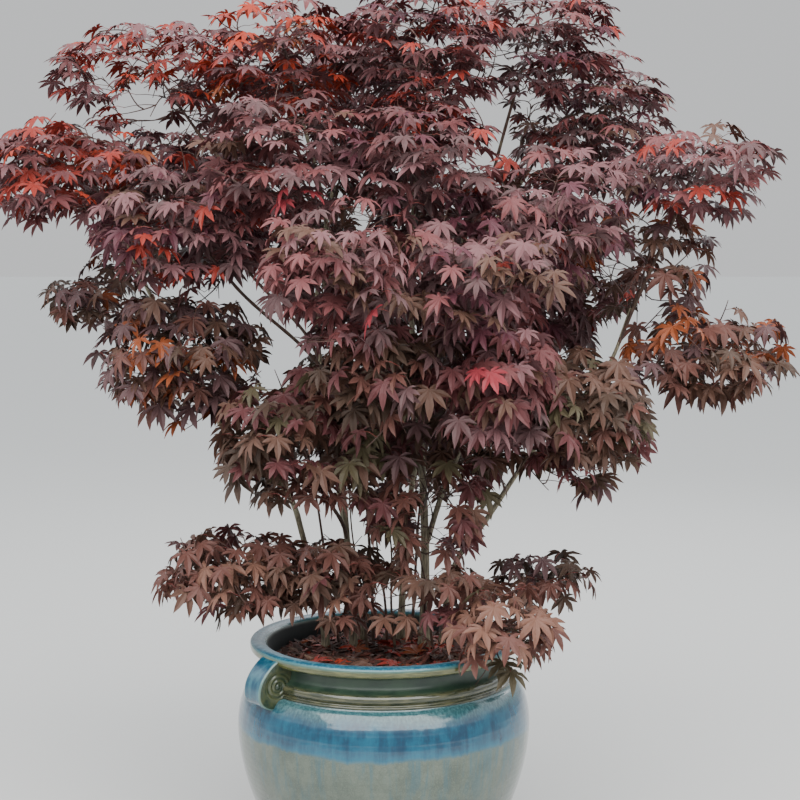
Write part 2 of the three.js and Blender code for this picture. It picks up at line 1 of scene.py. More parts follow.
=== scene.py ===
import json
import math
import bpy
import numpy as np
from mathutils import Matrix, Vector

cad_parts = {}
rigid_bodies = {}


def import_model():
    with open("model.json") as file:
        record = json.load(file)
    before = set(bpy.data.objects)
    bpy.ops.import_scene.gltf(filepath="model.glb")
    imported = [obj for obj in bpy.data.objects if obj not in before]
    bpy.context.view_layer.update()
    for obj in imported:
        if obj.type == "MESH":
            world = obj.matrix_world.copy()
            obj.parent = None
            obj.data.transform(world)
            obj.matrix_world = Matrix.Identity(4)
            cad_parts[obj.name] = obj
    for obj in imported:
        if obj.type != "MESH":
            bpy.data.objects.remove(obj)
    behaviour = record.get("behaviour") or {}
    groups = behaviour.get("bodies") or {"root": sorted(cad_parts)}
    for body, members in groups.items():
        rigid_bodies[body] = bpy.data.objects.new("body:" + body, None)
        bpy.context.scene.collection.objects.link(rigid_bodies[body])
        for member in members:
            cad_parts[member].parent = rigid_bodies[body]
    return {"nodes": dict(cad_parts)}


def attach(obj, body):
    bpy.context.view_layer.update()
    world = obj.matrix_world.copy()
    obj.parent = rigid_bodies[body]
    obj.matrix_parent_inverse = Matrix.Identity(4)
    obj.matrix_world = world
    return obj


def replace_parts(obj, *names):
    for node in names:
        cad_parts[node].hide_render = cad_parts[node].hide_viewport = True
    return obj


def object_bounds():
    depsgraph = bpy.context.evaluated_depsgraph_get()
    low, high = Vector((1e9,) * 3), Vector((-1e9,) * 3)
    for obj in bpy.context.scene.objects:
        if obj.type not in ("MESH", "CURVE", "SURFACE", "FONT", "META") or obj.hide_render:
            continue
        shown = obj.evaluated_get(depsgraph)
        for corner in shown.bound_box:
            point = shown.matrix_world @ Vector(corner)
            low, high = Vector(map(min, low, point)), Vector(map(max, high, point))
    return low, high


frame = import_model()
cadLow, cadHigh = [np.array(corner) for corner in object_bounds()]
up = np.array([0.0, 0.0, 1.0])
print("frame loaded with", len(frame["nodes"]), "nodes")

cameraView = {"place": (0, -3.17, 1.1635), "down": 5.2, "right": 0.56, "lens": 76.5, "sensor": 36}
lamps = [
    {"name": "sky_panel", "place": (0.2, -2.5, 3.7), "aim": (0, -0.2, 0.6), "size": (8.0, 4.4),
     "power": 480, "tint": (1, 0.98, 0.94)},
    {"name": "rear_panel", "place": (1.2, 3.6, 3.4), "aim": (0, 0, 1.1), "size": (3.0, 2.4),
     "power": 55, "tint": (0.95, 0.98, 1)},
]
# the sky is bright overhead and dim towards the horizon; the floor is as pale as the horizon
surroundings = {
    "horizon": (0.70, 0.71, 0.72), "overhead": (1.5, 1.56, 1.62), "rise": (0.20, 0.42),
    "floorTint": (0.50, 0.50, 0.49), "floorRoughness": 0.9, "floorReach": 60,
}


def aimAt(thing, place, target):
    # turns a lamp so that its own -Z runs from its place to the target
    direction = Vector(target) - Vector(place)
    thing.location = place
    thing.rotation_euler = direction.to_track_quat("-Z", "Y").to_euler()


def addCamera(form):
    lens = bpy.data.cameras.new("front_view")
    lens.lens = form["lens"]
    lens.sensor_width = form["sensor"]
    camera = bpy.data.objects.new("front_view", lens)
    camera.location = form["place"]
    camera.rotation_euler = (math.radians(90 - form["down"]), 0, math.radians(-form["right"]))
    bpy.context.scene.collection.objects.link(camera)
    bpy.context.scene.camera = camera


def addLamp(form):
    light = bpy.data.lights.new(form["name"], "AREA")
    light.shape = "RECTANGLE"
    light.size, light.size_y = form["size"]
    light.energy = form["power"]
    light.color = form["tint"]
    lamp = bpy.data.objects.new(form["name"], light)
    aimAt(lamp, form["place"], form["aim"])
    bpy.context.scene.collection.objects.link(lamp)


class Value:
    # one output of a node; Python's operators on it add Math nodes
    def __init__(self, paint, socket):
        self.paint = paint
        self.socket = socket

    def apply(self, operation, *others):
        return self.paint.maths(operation, self, *others)

    def __add__(self, other):
        return self.apply("ADD", other)

    def __sub__(self, other):
        return self.apply("SUBTRACT", other)

    def __rsub__(self, other):
        return self.paint.maths("SUBTRACT", other, self)

    def __mul__(self, other):
        return self.apply("MULTIPLY", other)

    def __pow__(self, other):
        return self.apply("POWER", other)

    __radd__ = __add__
    __rmul__ = __mul__


class Paint:
    # one material, or the world, and the nodes that are added to it
    def __init__(self, name, kind=bpy.data.materials, surface="Principled BSDF"):
        self.owner = kind.new(name)
        self.owner.use_nodes = True
        self.tree = self.owner.node_tree
        self.surface = self.tree.nodes[surface]

    def feed(self, socket, value):
        if isinstance(value, Value):
            self.tree.links.new(value.socket, socket)
        elif socket.type == "RGBA":
            socket.default_value = (*value, 1)
        else:
            socket.default_value = value

    def node(self, kind, settings, inputs, output=0):
        made = self.tree.nodes.new(kind)
        for key, value in settings.items():
            setattr(made, key, value)
        for key, value in inputs.items():
            self.feed(made.inputs[key], value)
        return Value(self, made.outputs[output])

    def maths(self, operation, *terms):
        return self.node("ShaderNodeMath", {"operation": operation}, dict(enumerate(terms)))

    def place(self, source="Object"):
        # the coordinates as one vector and as three numbers
        spot = self.node("ShaderNodeTexCoord", {}, {}, source)
        parts = [self.node("ShaderNodeSeparateXYZ", {}, {0: spot}, axis) for axis in range(3)]
        return spot, parts

    def vector(self, x, y, z):
        return self.node("ShaderNodeCombineXYZ", {}, {0: x, 1: y, 2: z})

    def noise(self, spot, scale, detail=3.0, roughness=0.5):
        sockets = {"Vector": spot, "Scale": scale, "Detail": detail, "Roughness": roughness}
        return self.node("ShaderNodeTexNoise", {}, sockets)

    def step(self, value, low, high):
        # 0 below low, 1 above high, smooth between
        sockets = {"Value": value, "From Min": low, "From Max": high}
        return self.node("ShaderNodeMapRange", {"interpolation_type": "SMOOTHSTEP"}, sockets)

    def mix(self, share, first, second):
        return self.node("ShaderNodeMix", {"data_type": "RGBA"}, {0: share, 6: first, 7: second}, 2)

    def bump(self, height, strength, distance):
        sockets = {"Height": height, "Strength": strength, "Distance": distance}
        return self.node("ShaderNodeBump", {}, sockets)

    def finish(self, **sockets):
        # sockets of the surface by name, with _ for a space
        for key, value in sockets.items():
            self.feed(self.surface.inputs[key.replace("_", " ")], value)
        return self.owner


def addPiece(name, points, faces, material, slotName, smooth=True):
    # one object at the origin; faces is a list of index arrays, one for each count of corners
    mesh = bpy.data.meshes.new(name)
    corners = [face for part in faces for face in part.tolist()]
    mesh.from_pydata(points.reshape(-1, 3).tolist(), [], corners)
    mesh.polygons.foreach_set("use_smooth", np.full(len(mesh.polygons), smooth))
    mesh.materials.append(material)
    piece = bpy.data.objects.new(name, mesh)
    bpy.context.scene.collection.objects.link(piece)
    if slotName:
        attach(piece, "root")
    return piece


def gridFaces(rows, columns):
    # quads between neighbouring rows of a grid whose last column joins its first
    row = np.arange(rows - 1)[:, None] * columns
    column = np.arange(columns)[None, :]
    following = (column + 1) % columns
    near, far = row + column, row + following
    return np.stack([near, far, far + columns, near + columns], -1).reshape(-1, 4)


def unit(vectors):
    # each vector divided by its length
    return vectors / np.maximum(np.linalg.norm(vectors, axis=-1, keepdims=True), 1e-9)


def addFloor(form):
    # one square of floor
    corners = form["floorReach"] * np.array([[-1, -1, 0], [1, -1, 0], [1, 1, 0], [-1, 1, 0]], float)
    material = Paint("pale_floor").finish(Base_Color=form["floorTint"], Roughness=form["floorRoughness"])
    addPiece("floor", corners, [np.array([[0, 1, 2, 3]])], material, None, False)


def addSky(form):
    # the world's colour changes with height from the horizon's to the one overhead
    paint = Paint("studio", bpy.data.worlds, "Background")
    _, (_, _, height) = paint.place("Generated")
    colour = paint.mix(paint.step(height, *form["rise"]), form["horizon"], form["overhead"])
    bpy.context.scene.world = paint.finish(Color=colour)


addCamera(cameraView)
for lampForm in lamps:
    addLamp(lampForm)
addFloor(surroundings)
addSky(surroundings)
print("camera, lamps and floor made")

pot = {
    "bellyRadius": 0.276, "bellyHeight": 0.265, "bellyDrop": 0.36, "bellyPower": 1.8,
    "shoulderRise": 0.085, "shoulderRadius": 0.238, "shoulderEnd": 0.3455, "wall": 0.012, "floor": 0.016,
    "columns": 224, "bellyRows": 84, "innerRows": 24, "rounding": 2,
    "ringPitch": 0.0064, "ringDepth": 0.00022,
    "wobble": 0.0009, "wobbleRadius": 0.25, "steadyRadius": 0.01,
    "footRadius": 0.10, "footInset": 0.008, "footRound": 0.0015, "lowestBelly": 0.006,
    "innerTop": 0.335, "innerEnd": 0.04, "innerFoot": (0.030, 0.020), "innerFlat": 0.045,
    # the outline above the shoulder as radius and height: ring, groove, lip and the inside of the neck
    "neck": [
        (0.2412, 0.3478), (0.2424, 0.3496), (0.2420, 0.3520), (0.2378, 0.3542), (0.2388, 0.3568),
        (0.2410, 0.3602), (0.2416, 0.3648), (0.2400, 0.3694), (0.2355, 0.3732), (0.2290, 0.3768),
        (0.2246, 0.3812), (0.2233, 0.3880), (0.2240, 0.3960), (0.2264, 0.4012), (0.2350, 0.4036),
        (0.2462, 0.4052), (0.2512, 0.4085), (0.2526, 0.4135), (0.2526, 0.4192), (0.2506, 0.4232),
        (0.2462, 0.4254), (0.2400, 0.4261), (0.2318, 0.4254), (0.2240, 0.4224), (0.2192, 0.4165),
        (0.2158, 0.4080), (0.2128, 0.3980), (0.2120, 0.3850), (0.2120, 0.3520)],
}
handleForm = {
    "azimuths": {"handle_left": 215, "handle_right": 35}, "halfWidth": 0.027, "rounding": 3,
    "columns": 144, "faceRows": 44, "sideRows": 12, "bendRows": 7, "hollow": 0.0007,
    "centre": (0.2495, 0.3705), "edge": 0.0042, "spiralReach": 0.0245, "spiralFade": 0.004,
    "pitch": 0.0086, "ridge": 0.0017, "button": 0.0046, "buttonRise": 0.0026, "dish": 0.0022,
    "outline": [
        (0.2200, 0.4160), (0.2360, 0.4190), (0.2510, 0.4188), (0.2610, 0.4120), (0.2700, 0.4040),
        (0.2805, 0.3920), (0.2890, 0.3760), (0.2918, 0.3600), (0.2895, 0.3450), (0.2800, 0.3350),
        (0.2660, 0.3290), (0.2480, 0.3270), (0.2340, 0.3330), (0.2270, 0.3500), (0.2220, 0.3750),
        (0.2190, 0.4000)],
}
# dark and light end of each glaze
glazes = {
    "deep": [(0.001, 0.030, 0.066), (0.003, 0.078, 0.136)], "deepFleck": (0.02, 0.15, 0.22),
    "high": [(0.018, 0.066, 0.076), (0.060, 0.140, 0.150)],
    "body": [(0.058, 0.080, 0.063), (0.104, 0.128, 0.102)], "bodySpeck": (0.155, 0.180, 0.145),
    "crackle": (0.036, 0.052, 0.040), "runs": (0.022, 0.092, 0.125), "edge": (0.008, 0.130, 0.205),
    "olive": [(0.050, 0.058, 0.020), (0.125, 0.128, 0.048)], "lipBand": (0.050, 0.16, 0.17),
    "ring": [(0.026, 0.032, 0.017), (0.085, 0.082, 0.040)],
    # groove: the dark green glaze, darkened further with painted shade under the lip
    "groove": [(0.006, 0.022, 0.014), (0.022, 0.050, 0.028)],
    # inside: painted shade, near black, on the inner face of the lip and the neck
    "crest": [(0.008, 0.070, 0.120), (0.055, 0.190, 0.250)], "inside": (0.006, 0.008, 0.008),
    "strap": [(0.005, 0.058, 0.105), (0.030, 0.125, 0.170)],
    "scroll": [(0.010, 0.026, 0.016), (0.046, 0.054, 0.022)],
    # the pale line at the strap's edge is a painted highlight
    "scrollRidge": (0.085, 0.095, 0.045), "paintedEdgeHighlight": (0.17, 0.30, 0.28),
}
# heights between which one glaze gives way to the next above it
glazeHeights = {
    "runs": (0.10, 0.27), "ring": (0.3470, 0.3490), "groove": (0.3700, 0.3760),
    "grooveTop": (0.4000, 0.4045), "lip": (0.4015, 0.4055), "lipBand": (0.4150, 0.4225),
    "crest": (0.4205, 0.4240), "crown": (0.4180, 0.4240), "inside": (0.30, 0.34),
}
# the values of its noise between which each mottle grows, and how strongly the thin ones cover
mottles = {
    "deep": (0.38, 0.62), "deepFleck": (0.55, 0.78), "high": (0.35, 0.7), "body": (0.3, 0.7),
    "bodySpeck": (0.5, 0.72), "crackle": (0.0, 0.05), "runs": (0.47, 0.62), "olive": (0.35, 0.68),
    "ring": (0.4, 0.7), "groove": (0.35, 0.7), "crest": (0.42, 0.7), "strap": (0.38, 0.66),
    "scroll": (0.35, 0.68),
}
cover = {
    "deepFleck": 0.25, "bodySpeck": 0.4, "crackle": 0.35, "runs": 0.55, "edge": 0.4,
    "scrollRidge": 0.5, "paintedEdgeHighlight": 0.45,
}
# the wandering lines: where the blue ends on the belly, with the distances above it over which the two glazes
# blend and the bright edge comes and goes, and where the blue's paler top begins
glazeLine = {
    "height": 0.2655, "wide": 0.040, "streaks": 0.016, "lean": 0.010, "blend": (-0.004, 0.006),
    "edgeStart": (-0.004, 0.003), "edgeEnd": (0.003, 0.016),
}
paleTop = {"heights": (0.318, 0.345), "wide": 0.05}
neckInside = (0.2180, 0.2235)  # radii between which the painted shade inside the neck begins
# shares of a handle's half width where its strap ends, and where the painted highlight line begins and ends
strapShares = {"end": (0.86, 0.99), "edge": (0.80, 0.93), "face": (0.97, 1.04)}


def rounded(points, times, closed):
    # corner cutting: each corner gives way to points a quarter and three quarters along its sides
    for _ in range(times):
        start = points if closed else points[:-1]
        end = np.roll(points, -1, axis=0) if closed else points[1:]
        cut = np.stack([0.75 * start + 0.25 * end, 0.25 * start + 0.75 * end], 1).reshape(-1, 2)
        points = cut if closed else np.concatenate([points[:1], cut, points[-1:]])
    return points


def bellyRadiusAt(height):
    # a superellipse below the widest height and a quarter ellipse above it
    below = np.clip((pot["bellyHeight"] - height) / pot["bellyDrop"], 0, 1)
    lower = pot["bellyRadius"] * (1 - below ** pot["bellyPower"]) ** (1 / pot["bellyPower"])
    above = np.clip((height - pot["bellyHeight"]) / pot["shoulderRise"], 0, 1)
    upper = pot["shoulderRadius"] + (pot["bellyRadius"] - pot["shoulderRadius"]) * np.sqrt(1 - above ** 2)
    return np.where(height > pot["bellyHeight"], upper, lower)


def mottled(paint, key, noise):
    # a glaze's dark and its light end, mixed by a noise
    return paint.mix(paint.step(noise, *mottles[key]), *glazes[key])


def dusted(paint, key, noise, under):
    # a thin colour over another where a noise is high
    return paint.mix(paint.step(noise, *mottles[key]) * cover[key], under, glazes[key])


def potGlaze():
    # bands of glaze by height, each mottled by a noise; the blue ends in a wandering line on the belly and
    # runs down from it in streaks; painted shade darkens the groove under the lip and the inside of the neck
    paint = Paint("running_glaze")
    spot, (x, y, z) = paint.place()
    radius = (x * x + y * y) ** 0.5
    above = {key: paint.step(z, *heights) for key, heights in glazeHeights.items()}

    def stretched(level, upright, detail, roughness=0.5):
        return paint.noise(paint.vector(x * level, y * level, z * upright), 1.0, detail, roughness)

    wide, streaks = stretched(6, 3, 2.0), stretched(70, 5, 4.0, 0.6)
    fine, grain = stretched(240, 60, 3.0, 0.6), stretched(40, 420, 3.0, 0.6)
    cloud = paint.noise(spot, 24.0, 5.0, 0.62)
    speckle = paint.noise(spot, 420.0, 2.0, 0.6)
    wave = paint.noise(spot, 26.0, 2.0, 0.5)
    toEdge = {"feature": "DISTANCE_TO_EDGE"}
    crackle = paint.node("ShaderNodeTexVoronoi", toEdge, {"Vector": spot, "Scale": 120.0})

    deep = dusted(paint, "deepFleck", fine, mottled(paint, "deep", streaks * 0.5 + cloud * 0.5))
    paler = paint.step(z + (wide - 0.5) * paleTop["wide"], *paleTop["heights"])
    upper = paint.mix(paler, deep, mottled(paint, "high", fine))
    body = dusted(paint, "bodySpeck", speckle, mottled(paint, "body", cloud))
    cracks = 1 - paint.step(crackle, *mottles["crackle"])
    body = paint.mix(cracks * cover["crackle"], body, glazes["crackle"])
    runs = paint.step(streaks * 0.7 + wide * 0.3, *mottles["runs"]) * above["runs"]
    lower = paint.mix(runs * cover["runs"], body, glazes["runs"])

    line = glazeLine["height"] + (wide - 0.5) * glazeLine["wide"] + (streaks - 0.5) * glazeLine["streaks"]
    over = z - line + x * glazeLine["lean"]
    belly = paint.mix(paint.step(over, *glazeLine["blend"]), lower, upper)
    edge = paint.step(over, *glazeLine["edgeStart"]) * (1 - paint.step(over, *glazeLine["edgeEnd"]))
    belly = paint.mix(edge * cover["edge"], belly, glazes["edge"])

    band = paint.mix(above["lipBand"], mottled(paint, "olive", grain), glazes["lipBand"])
    colour = paint.mix(above["ring"], belly, mottled(paint, "ring", grain))
    # the groove's dark green glaze carries painted shade under the overhanging lip
    colour = paint.mix(above["groove"], colour, mottled(paint, "groove", cloud))
    colour = paint.mix(above["lip"], colour, band)
    colour = paint.mix(above["crest"], colour, mottled(paint, "crest", fine))
    # the inside of the neck is painted near black: painted shade where the lip and the crown keep the light
    # out
    inside = (1 - paint.step(radius, *neckInside)) * above["inside"]
    colour = paint.mix(inside, colour, glazes["inside"])

    dull = inside + above["groove"] * (1 - above["grooveTop"]) * (1 - inside)
    roughness = 0.07 + cloud * 0.12 + inside * 0.30 + dull * 0.32 + above["crown"] * 0.20
    coat = (0.45 - dull * 0.44) * (1 - above["crown"])
    peel = cloud * 0.6 + streaks * 0.5 + speckle * 0.08 + wave * 3.5
    return paint.finish(Base_Color=colour, Roughness=roughness, Coat_Weight=coat, IOR=1.55,
                        Normal=paint.bump(peel, 0.30, 0.0014))


def handleGlaze():
    # the strap blue, its side faces dark green with paler ridges, and a pale painted highlight where the two
    # meet
    paint = Paint("handle_glaze")
    spot, (x, y, z) = paint.place()
    streaks = paint.noise(paint.vector(x * 60, y * 60, z * 10), 1.0, 4.0, 0.6)
    cloud = paint.noise(spot, 55.0, 4.0, 0.6)
    across = paint.node("ShaderNodeAttribute", {"attribute_name": "acrossShare"}, {}, "Fac")
    ridges = paint.node("ShaderNodeAttribute", {"attribute_name": "ridgeShare"}, {}, "Fac")
    face = paint.mix(ridges * cover["scrollRidge"], mottled(paint, "scroll", cloud), glazes["scrollRidge"])
    colour = paint.mix(paint.step(across, *strapShares["end"]), mottled(paint, "strap", streaks), face)
    # the pale line where the strap's face turns into its side is a painted highlight
    edge = paint.step(across, *strapShares["edge"]) * (1 - paint.step(across, *strapShares["face"]))
    colour = paint.mix(edge * cover["paintedEdgeHighlight"], colour, glazes["paintedEdgeHighlight"])
    return paint.finish(Base_Color=colour, Roughness=0.08 + cloud * 0.16, Coat_Weight=0.3,
                        Normal=paint.bump(streaks + cloud * 0.6, 0.3, 0.0012))


def makePot():
    # a profile turned round the vertical axis, with shallow throwing rings and a slight wobble
    standing, curl = bellyRadiusAt(0.0), pot["footRound"]
    foot = [(0.0, 0.0), (pot["footRadius"], 0.0), (standing - pot["footInset"], 0.0), (standing - curl, curl)]
    belly = np.linspace(pot["lowestBelly"], pot["shoulderEnd"], pot["bellyRows"])
    outer = np.stack([bellyRadiusAt(belly), belly], 1)
    neck = rounded(np.array(pot["neck"]), pot["rounding"], False)
    deep = np.linspace(pot["innerTop"], pot["innerEnd"], pot["innerRows"])
    inner = np.stack([bellyRadiusAt(deep) - pot["wall"], deep], 1)
    (inset, rise), floor = pot["innerFoot"], pot["floor"]
    base = [(bellyRadiusAt(inset) - inset, rise), (standing - pot["innerFlat"], floor), (0.0, floor)]
    profile = np.concatenate([np.array(foot), outer, neck, inner, np.array(base)])
    turn = np.linspace(0, 2 * np.pi, pot["columns"], endpoint=False)[None, :]
    radius, height = profile[:, 0][:, None], profile[:, 1][:, None]
    row = np.arange(len(profile))[:, None]
    outside = (row > len(foot)) & (row < len(foot) + len(outer))
    rings = pot["ringDepth"] * np.sin(2 * np.pi * height / pot["ringPitch"] + 1.5 * np.sin(turn)) * outside
    sway = np.sin(2 * turn + 0.7) * 0.6 + np.sin(3 * turn + 2 * height) * 0.4
    wobble = pot["wobble"] * sway * (radius / pot["wobbleRadius"]) * (radius > pot["steadyRadius"])
    full = np.maximum(radius + rings + wobble, 0)
    points = np.stack([full * np.cos(turn), full * np.sin(turn), height + 0 * turn], -1)
    piece = addPiece("glazed_pot", points, [gridFaces(len(profile), pot["columns"])], potGlaze(), "glaze")
    mergeDoubles(piece)
    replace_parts(piece, "pot")


def mergeDoubles(piece):
    # the rings of a pole become one corner
    weld = piece.modifiers.new("close_poles", "WELD")
    weld.merge_threshold = 0.00001
    evaluated = piece.evaluated_get(bpy.context.evaluated_depsgraph_get())
    closed = bpy.data.meshes.new_from_object(evaluated)
    piece.modifiers.clear()
    piece.data = closed


def makeHandle(name, form, material):
    # rays from the scroll's centre to its outline, run up one side face, across the strap and back on the
    # other; the ridges are the cosine of the reach less the turn, and a round button sits in their middle
    outline = rounded(np.array(form["outline"]), form["rounding"], True) - np.array(form["centre"])
    angles = np.arctan2(outline[:, 1], outline[:, 0])
    order = np.argsort(angles)
    turn = np.linspace(-np.pi, np.pi, form["columns"], endpoint=False)
    lengths = np.linalg.norm(outline, axis=1)
    reach = np.interp(turn, angles[order], lengths[order], period=2 * np.pi)[None, :]
    rise = np.linspace(0, 1, form["faceRows"])[:, None]
    bend = np.linspace(0, np.pi / 2, form["bendRows"])[1:-1, None]
    faceReach = (reach - form["edge"]) * rise
    coil = faceReach / form["pitch"] - turn[None, :] / (2 * np.pi)
    rolled = 1 - np.clip((faceReach - form["spiralReach"]) / form["spiralFade"], 0, 1)
    ridges = (0.5 + 0.5 * np.cos(2 * np.pi * coil)) * rolled * np.clip(faceReach / form["button"] - 1, 0, 1)
    dome = np.clip(1 - (faceReach / form["button"]) ** 2, 0, 1) ** 0.5
    lift = form["ridge"] * ridges + form["buttonRise"] * dome - form["dish"] * rolled
    half = form["halfWidth"]
    roundReach = reach - form["edge"] * (1 - np.sin(bend))
    roundSide = half - form["edge"] * (1 - np.cos(bend)) + 0 * reach
    sides = np.linspace(1, -1, form["sideRows"])[:, None] * (half - form["edge"])
    sideReach = reach + 0 * sides - form["hollow"] * (1 - (sides / half) ** 2)
    distance = np.concatenate([faceReach, roundReach, sideReach, roundReach[::-1], faceReach[::-1]])
    face, strap = half + lift, sides + 0 * reach
    sideways = np.concatenate([face, roundSide, strap, -roundSide[::-1], -face[::-1]])
    out = form["centre"][0] + distance * np.cos(turn)
    height = form["centre"][1] + distance * np.sin(turn)
    aim = math.radians(form["azimuths"][name])
    x = out * math.cos(aim) - sideways * math.sin(aim)
    y = out * math.sin(aim) + sideways * math.cos(aim)
    faces = gridFaces(len(distance), form["columns"])
    piece = addPiece(name + "_scroll", np.stack([x, y, height], -1), [faces], material, "glaze")
    onFace = 1.2 + 0 * faceReach  # past 1, the share that the strap has at its edge
    flats = [onFace, roundSide / half, np.abs(strap / half), roundSide[::-1] / half, onFace]
    ridgeRows = [ridges, 0 * roundReach, 0 * sideReach, 0 * roundReach, ridges[::-1]]
    for key, rows in (("acrossShare", flats), ("ridgeShare", ridgeRows)):
        attribute = piece.data.attributes.new(key, "FLOAT", "POINT")
        attribute.data.foreach_set("value", np.concatenate(rows).astype(np.float32).ravel())
    mergeDoubles(piece)
    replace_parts(piece, name)


makePot()
handleMaterial = handleGlaze()
for handleName in handleForm["azimuths"]:
    makeHandle(handleName, handleForm, handleMaterial)
print("pot and handles made")

mulch = {
    "radius": 0.2117, "top": 0.3905, "edgeTop": 0.385, "flatRadius": 0.15, "bottom": 0.36,
    "rings": 70, "columns": 160, "lump": 0.0028, "seed": 41,
    "mix": [(0.012, 0.006, 0.005), (0.055, 0.022, 0.014)],
    # each kind of chip: how many, then its dark and its light colour
    "chips": {
        "dark_chips": [750, (0.020, 0.009, 0.007), (0.075, 0.030, 0.020)],
        "red_chips": [600, (0.045, 0.012, 0.009), (0.130, 0.036, 0.024)],
        "pale_chips": [150, (0.085, 0.048, 0.034), (0.20, 0.125, 0.09)]},
    "chipLength": (0.010, 0.046), "chipWidth": (0.003, 0.010), "chipDepth": (0.0015, 0.0038),
    "chipJag": 0.16, "chipCurl": 0.08, "chipTip": 0.28, "chipRoll": 0.22,
    "chipLift": (0.0005, 0.005), "chipInset": 0.003,
}
fallen = {
    "counts": {"scarlet": 18, "red": 18, "orange": 9, "bronze": 15}, "reach": 0.168, "size": (0.028, 0.045),
    "lift": (0.006, 0.011), "tip": 0.12, "roll": 0.2, "seed": 42,
}


def lumps(x, y):
    # a few crossed waves of different lengths, from -1 to 1
    waves = [(61, 17, 0.3), (-38, 55, 1.1), (97, -83, 2.0), (-131, -71, 0.8), (29, -149, 2.7)]
    return sum(np.sin(a * x + b * y + c) for a, b, c in waves) / len(waves)


def mulchHeight(x, y):
    # flat in the middle, falling in a straight line to the edge, and lumpy all over
    radius = np.hypot(x, y)
    fall = np.clip((radius - mulch["flatRadius"]) / (mulch["radius"] - mulch["flatRadius"]), 0, 1)
    return mulch["top"] + (mulch["edgeTop"] - mulch["top"]) * fall + mulch["lump"] * lumps(x, y)


def barkMulchPaint(name, dark, light):
    # grain within patches mixes the two colours
    paint = Paint(name)
    spot, _ = paint.place()
    grain = paint.noise(spot, 160.0, 4.0, 0.65)
    patches = paint.noise(spot, 34.0, 2.0)
    colour = paint.mix(paint.step(grain * 0.6 + patches * 0.4, 0.36, 0.64), dark, light)
    normal = paint.bump(grain, 0.6, 0.0015)
    return paint.finish(Base_Color=colour, Roughness=0.72 + grain * 0.2, Normal=normal)


def makeMulch():
    # a disc of rings whose height falls to the edge and rolls in lumps, closed below by a skirt and a floor
    share = np.linspace(0, 1, mulch["rings"])[:, None]
    turn = np.linspace(0, 2 * np.pi, mulch["columns"], endpoint=False)[None, :]
    radius = np.concatenate([share, [[1.0]], [[0.0]]]) * mulch["radius"]
    x, y = radius * np.cos(turn), radius * np.sin(turn)
    height = mulchHeight(x, y)
    height[-2:] = mulch["bottom"]
    points = np.stack([x, y, height], -1)
    faces = gridFaces(len(radius), mulch["columns"])
    piece = addPiece("potting_mix", points, [faces], barkMulchPaint("dark_mix", *mulch["mix"]), "soil")
    mergeDoubles(piece)
    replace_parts(piece, "soil")


def scattered(reach, lift, count, rng):
    # places evenly over a disc, each lifted a little above the mulch
    radius = reach * np.sqrt(rng.uniform(0, 1, count))
    spin = rng.uniform(0, 2 * np.pi, count)
    x, y = radius * np.cos(spin), radius * np.sin(spin)
    return np.stack([x, y, mulchHeight(x, y) + rng.uniform(*lift, count)], 1)


def makeChips(name, count, dark, light, rng):
    # slabs of eight corners, each with its own length, width and depth, turned about and tipped a little
    spans = [mulch[key] for key in ("chipLength", "chipWidth", "chipDepth")]
    lengths, widths, depths = [rng.uniform(*span, count) for span in spans]
    corners = np.array([[a, b, c] for c in (-0.5, 0.5) for b in (-0.5, 0.5) for a in (-0.5, 0.5)])
    jag = rng.uniform(-mulch["chipJag"], mulch["chipJag"], (count, 8, 3))
    local = (corners[None] + jag) * np.stack([lengths, widths, depths], 1)[:, None, :]
    curl = mulch["chipCurl"] * lengths[:, None] * (2 * corners[None, :, 0]) ** 2
    local[:, :, 2] += curl * rng.uniform(-1, 1, (count, 1))
    turn = rng.uniform(0, 2 * np.pi, count)
    ahead = unit(np.stack([np.cos(turn), np.sin(turn), rng.normal(0, mulch["chipTip"], count)], 1))
    across = unit(np.cross(up + rng.normal(0, mulch["chipRoll"], (count, 3)), ahead))
    over = np.cross(ahead, across)
    middle = scattered(mulch["radius"] - 0.5 * lengths - mulch["chipInset"], mulch["chipLift"], count, rng)
    axes = np.stack([ahead, across, over], 1)
    points = middle[:, None, :] + np.einsum("nvk,nkd->nvd", local, axes)
    quads = np.array([[0, 2, 3, 1], [4, 5, 7, 6], [0, 1, 5, 4], [2, 6, 7, 3], [0, 4, 6, 2], [1, 3, 7, 5]])
    faces = (np.arange(count)[:, None, None] * 8 + quads[None]).reshape(-1, 4)
    addPiece(name, points, [faces], barkMulchPaint(name + "_bark", dark, light), "soil", False)


mulchRandom = np.random.default_rng(mulch["seed"])
makeMulch()
for chipName, chipForm in mulch["chips"].items():
    makeChips(chipName, *chipForm, mulchRandom)
print("potting mix and chips made")

soilTop = 0.392
clearance = 0.0003
# each stem in millimetres: its foot on the mix, its radius there and the places its line runs through
stems = {
    "main_stem": {"foot": (78, 45), "radius": 9.5, "route": [
        (79, 30, 595), (71, 10, 780), (52, -8, 1050), (62, -30, 1380)]},
    "left_stem": {"foot": (-58, 38), "radius": 6.5, "route": [
        (-69, 20, 610), (-92, 5, 900), (-108, 0, 1220), (-150, -10, 1400)]},
    "far_left_stem": {"foot": (-112, 34), "radius": 6.5, "route": [
        (-153, 30, 610), (-182, 4, 700), (-262, -16, 772), (-341, -16, 894), (-440, 20, 1080),
        (-500, 25, 1215)]},
    "right_stem": {"foot": (116, 66), "radius": 6.5, "route": [
        (138, 50, 555), (198, 40, 645), (290, 20, 786), (420, 26, 930), (468, 36, 1045)]},
    "rear_right_stem": {"foot": (34, 112), "radius": 7, "route": [
        (58, 170, 700), (150, 262, 1080), (300, 315, 1320)]},
    "rear_left_stem": {"foot": (-42, 104), "radius": 6.5, "route": [
        (-92, 180, 700), (-135, 280, 1050), (-95, 365, 1330)]},
}
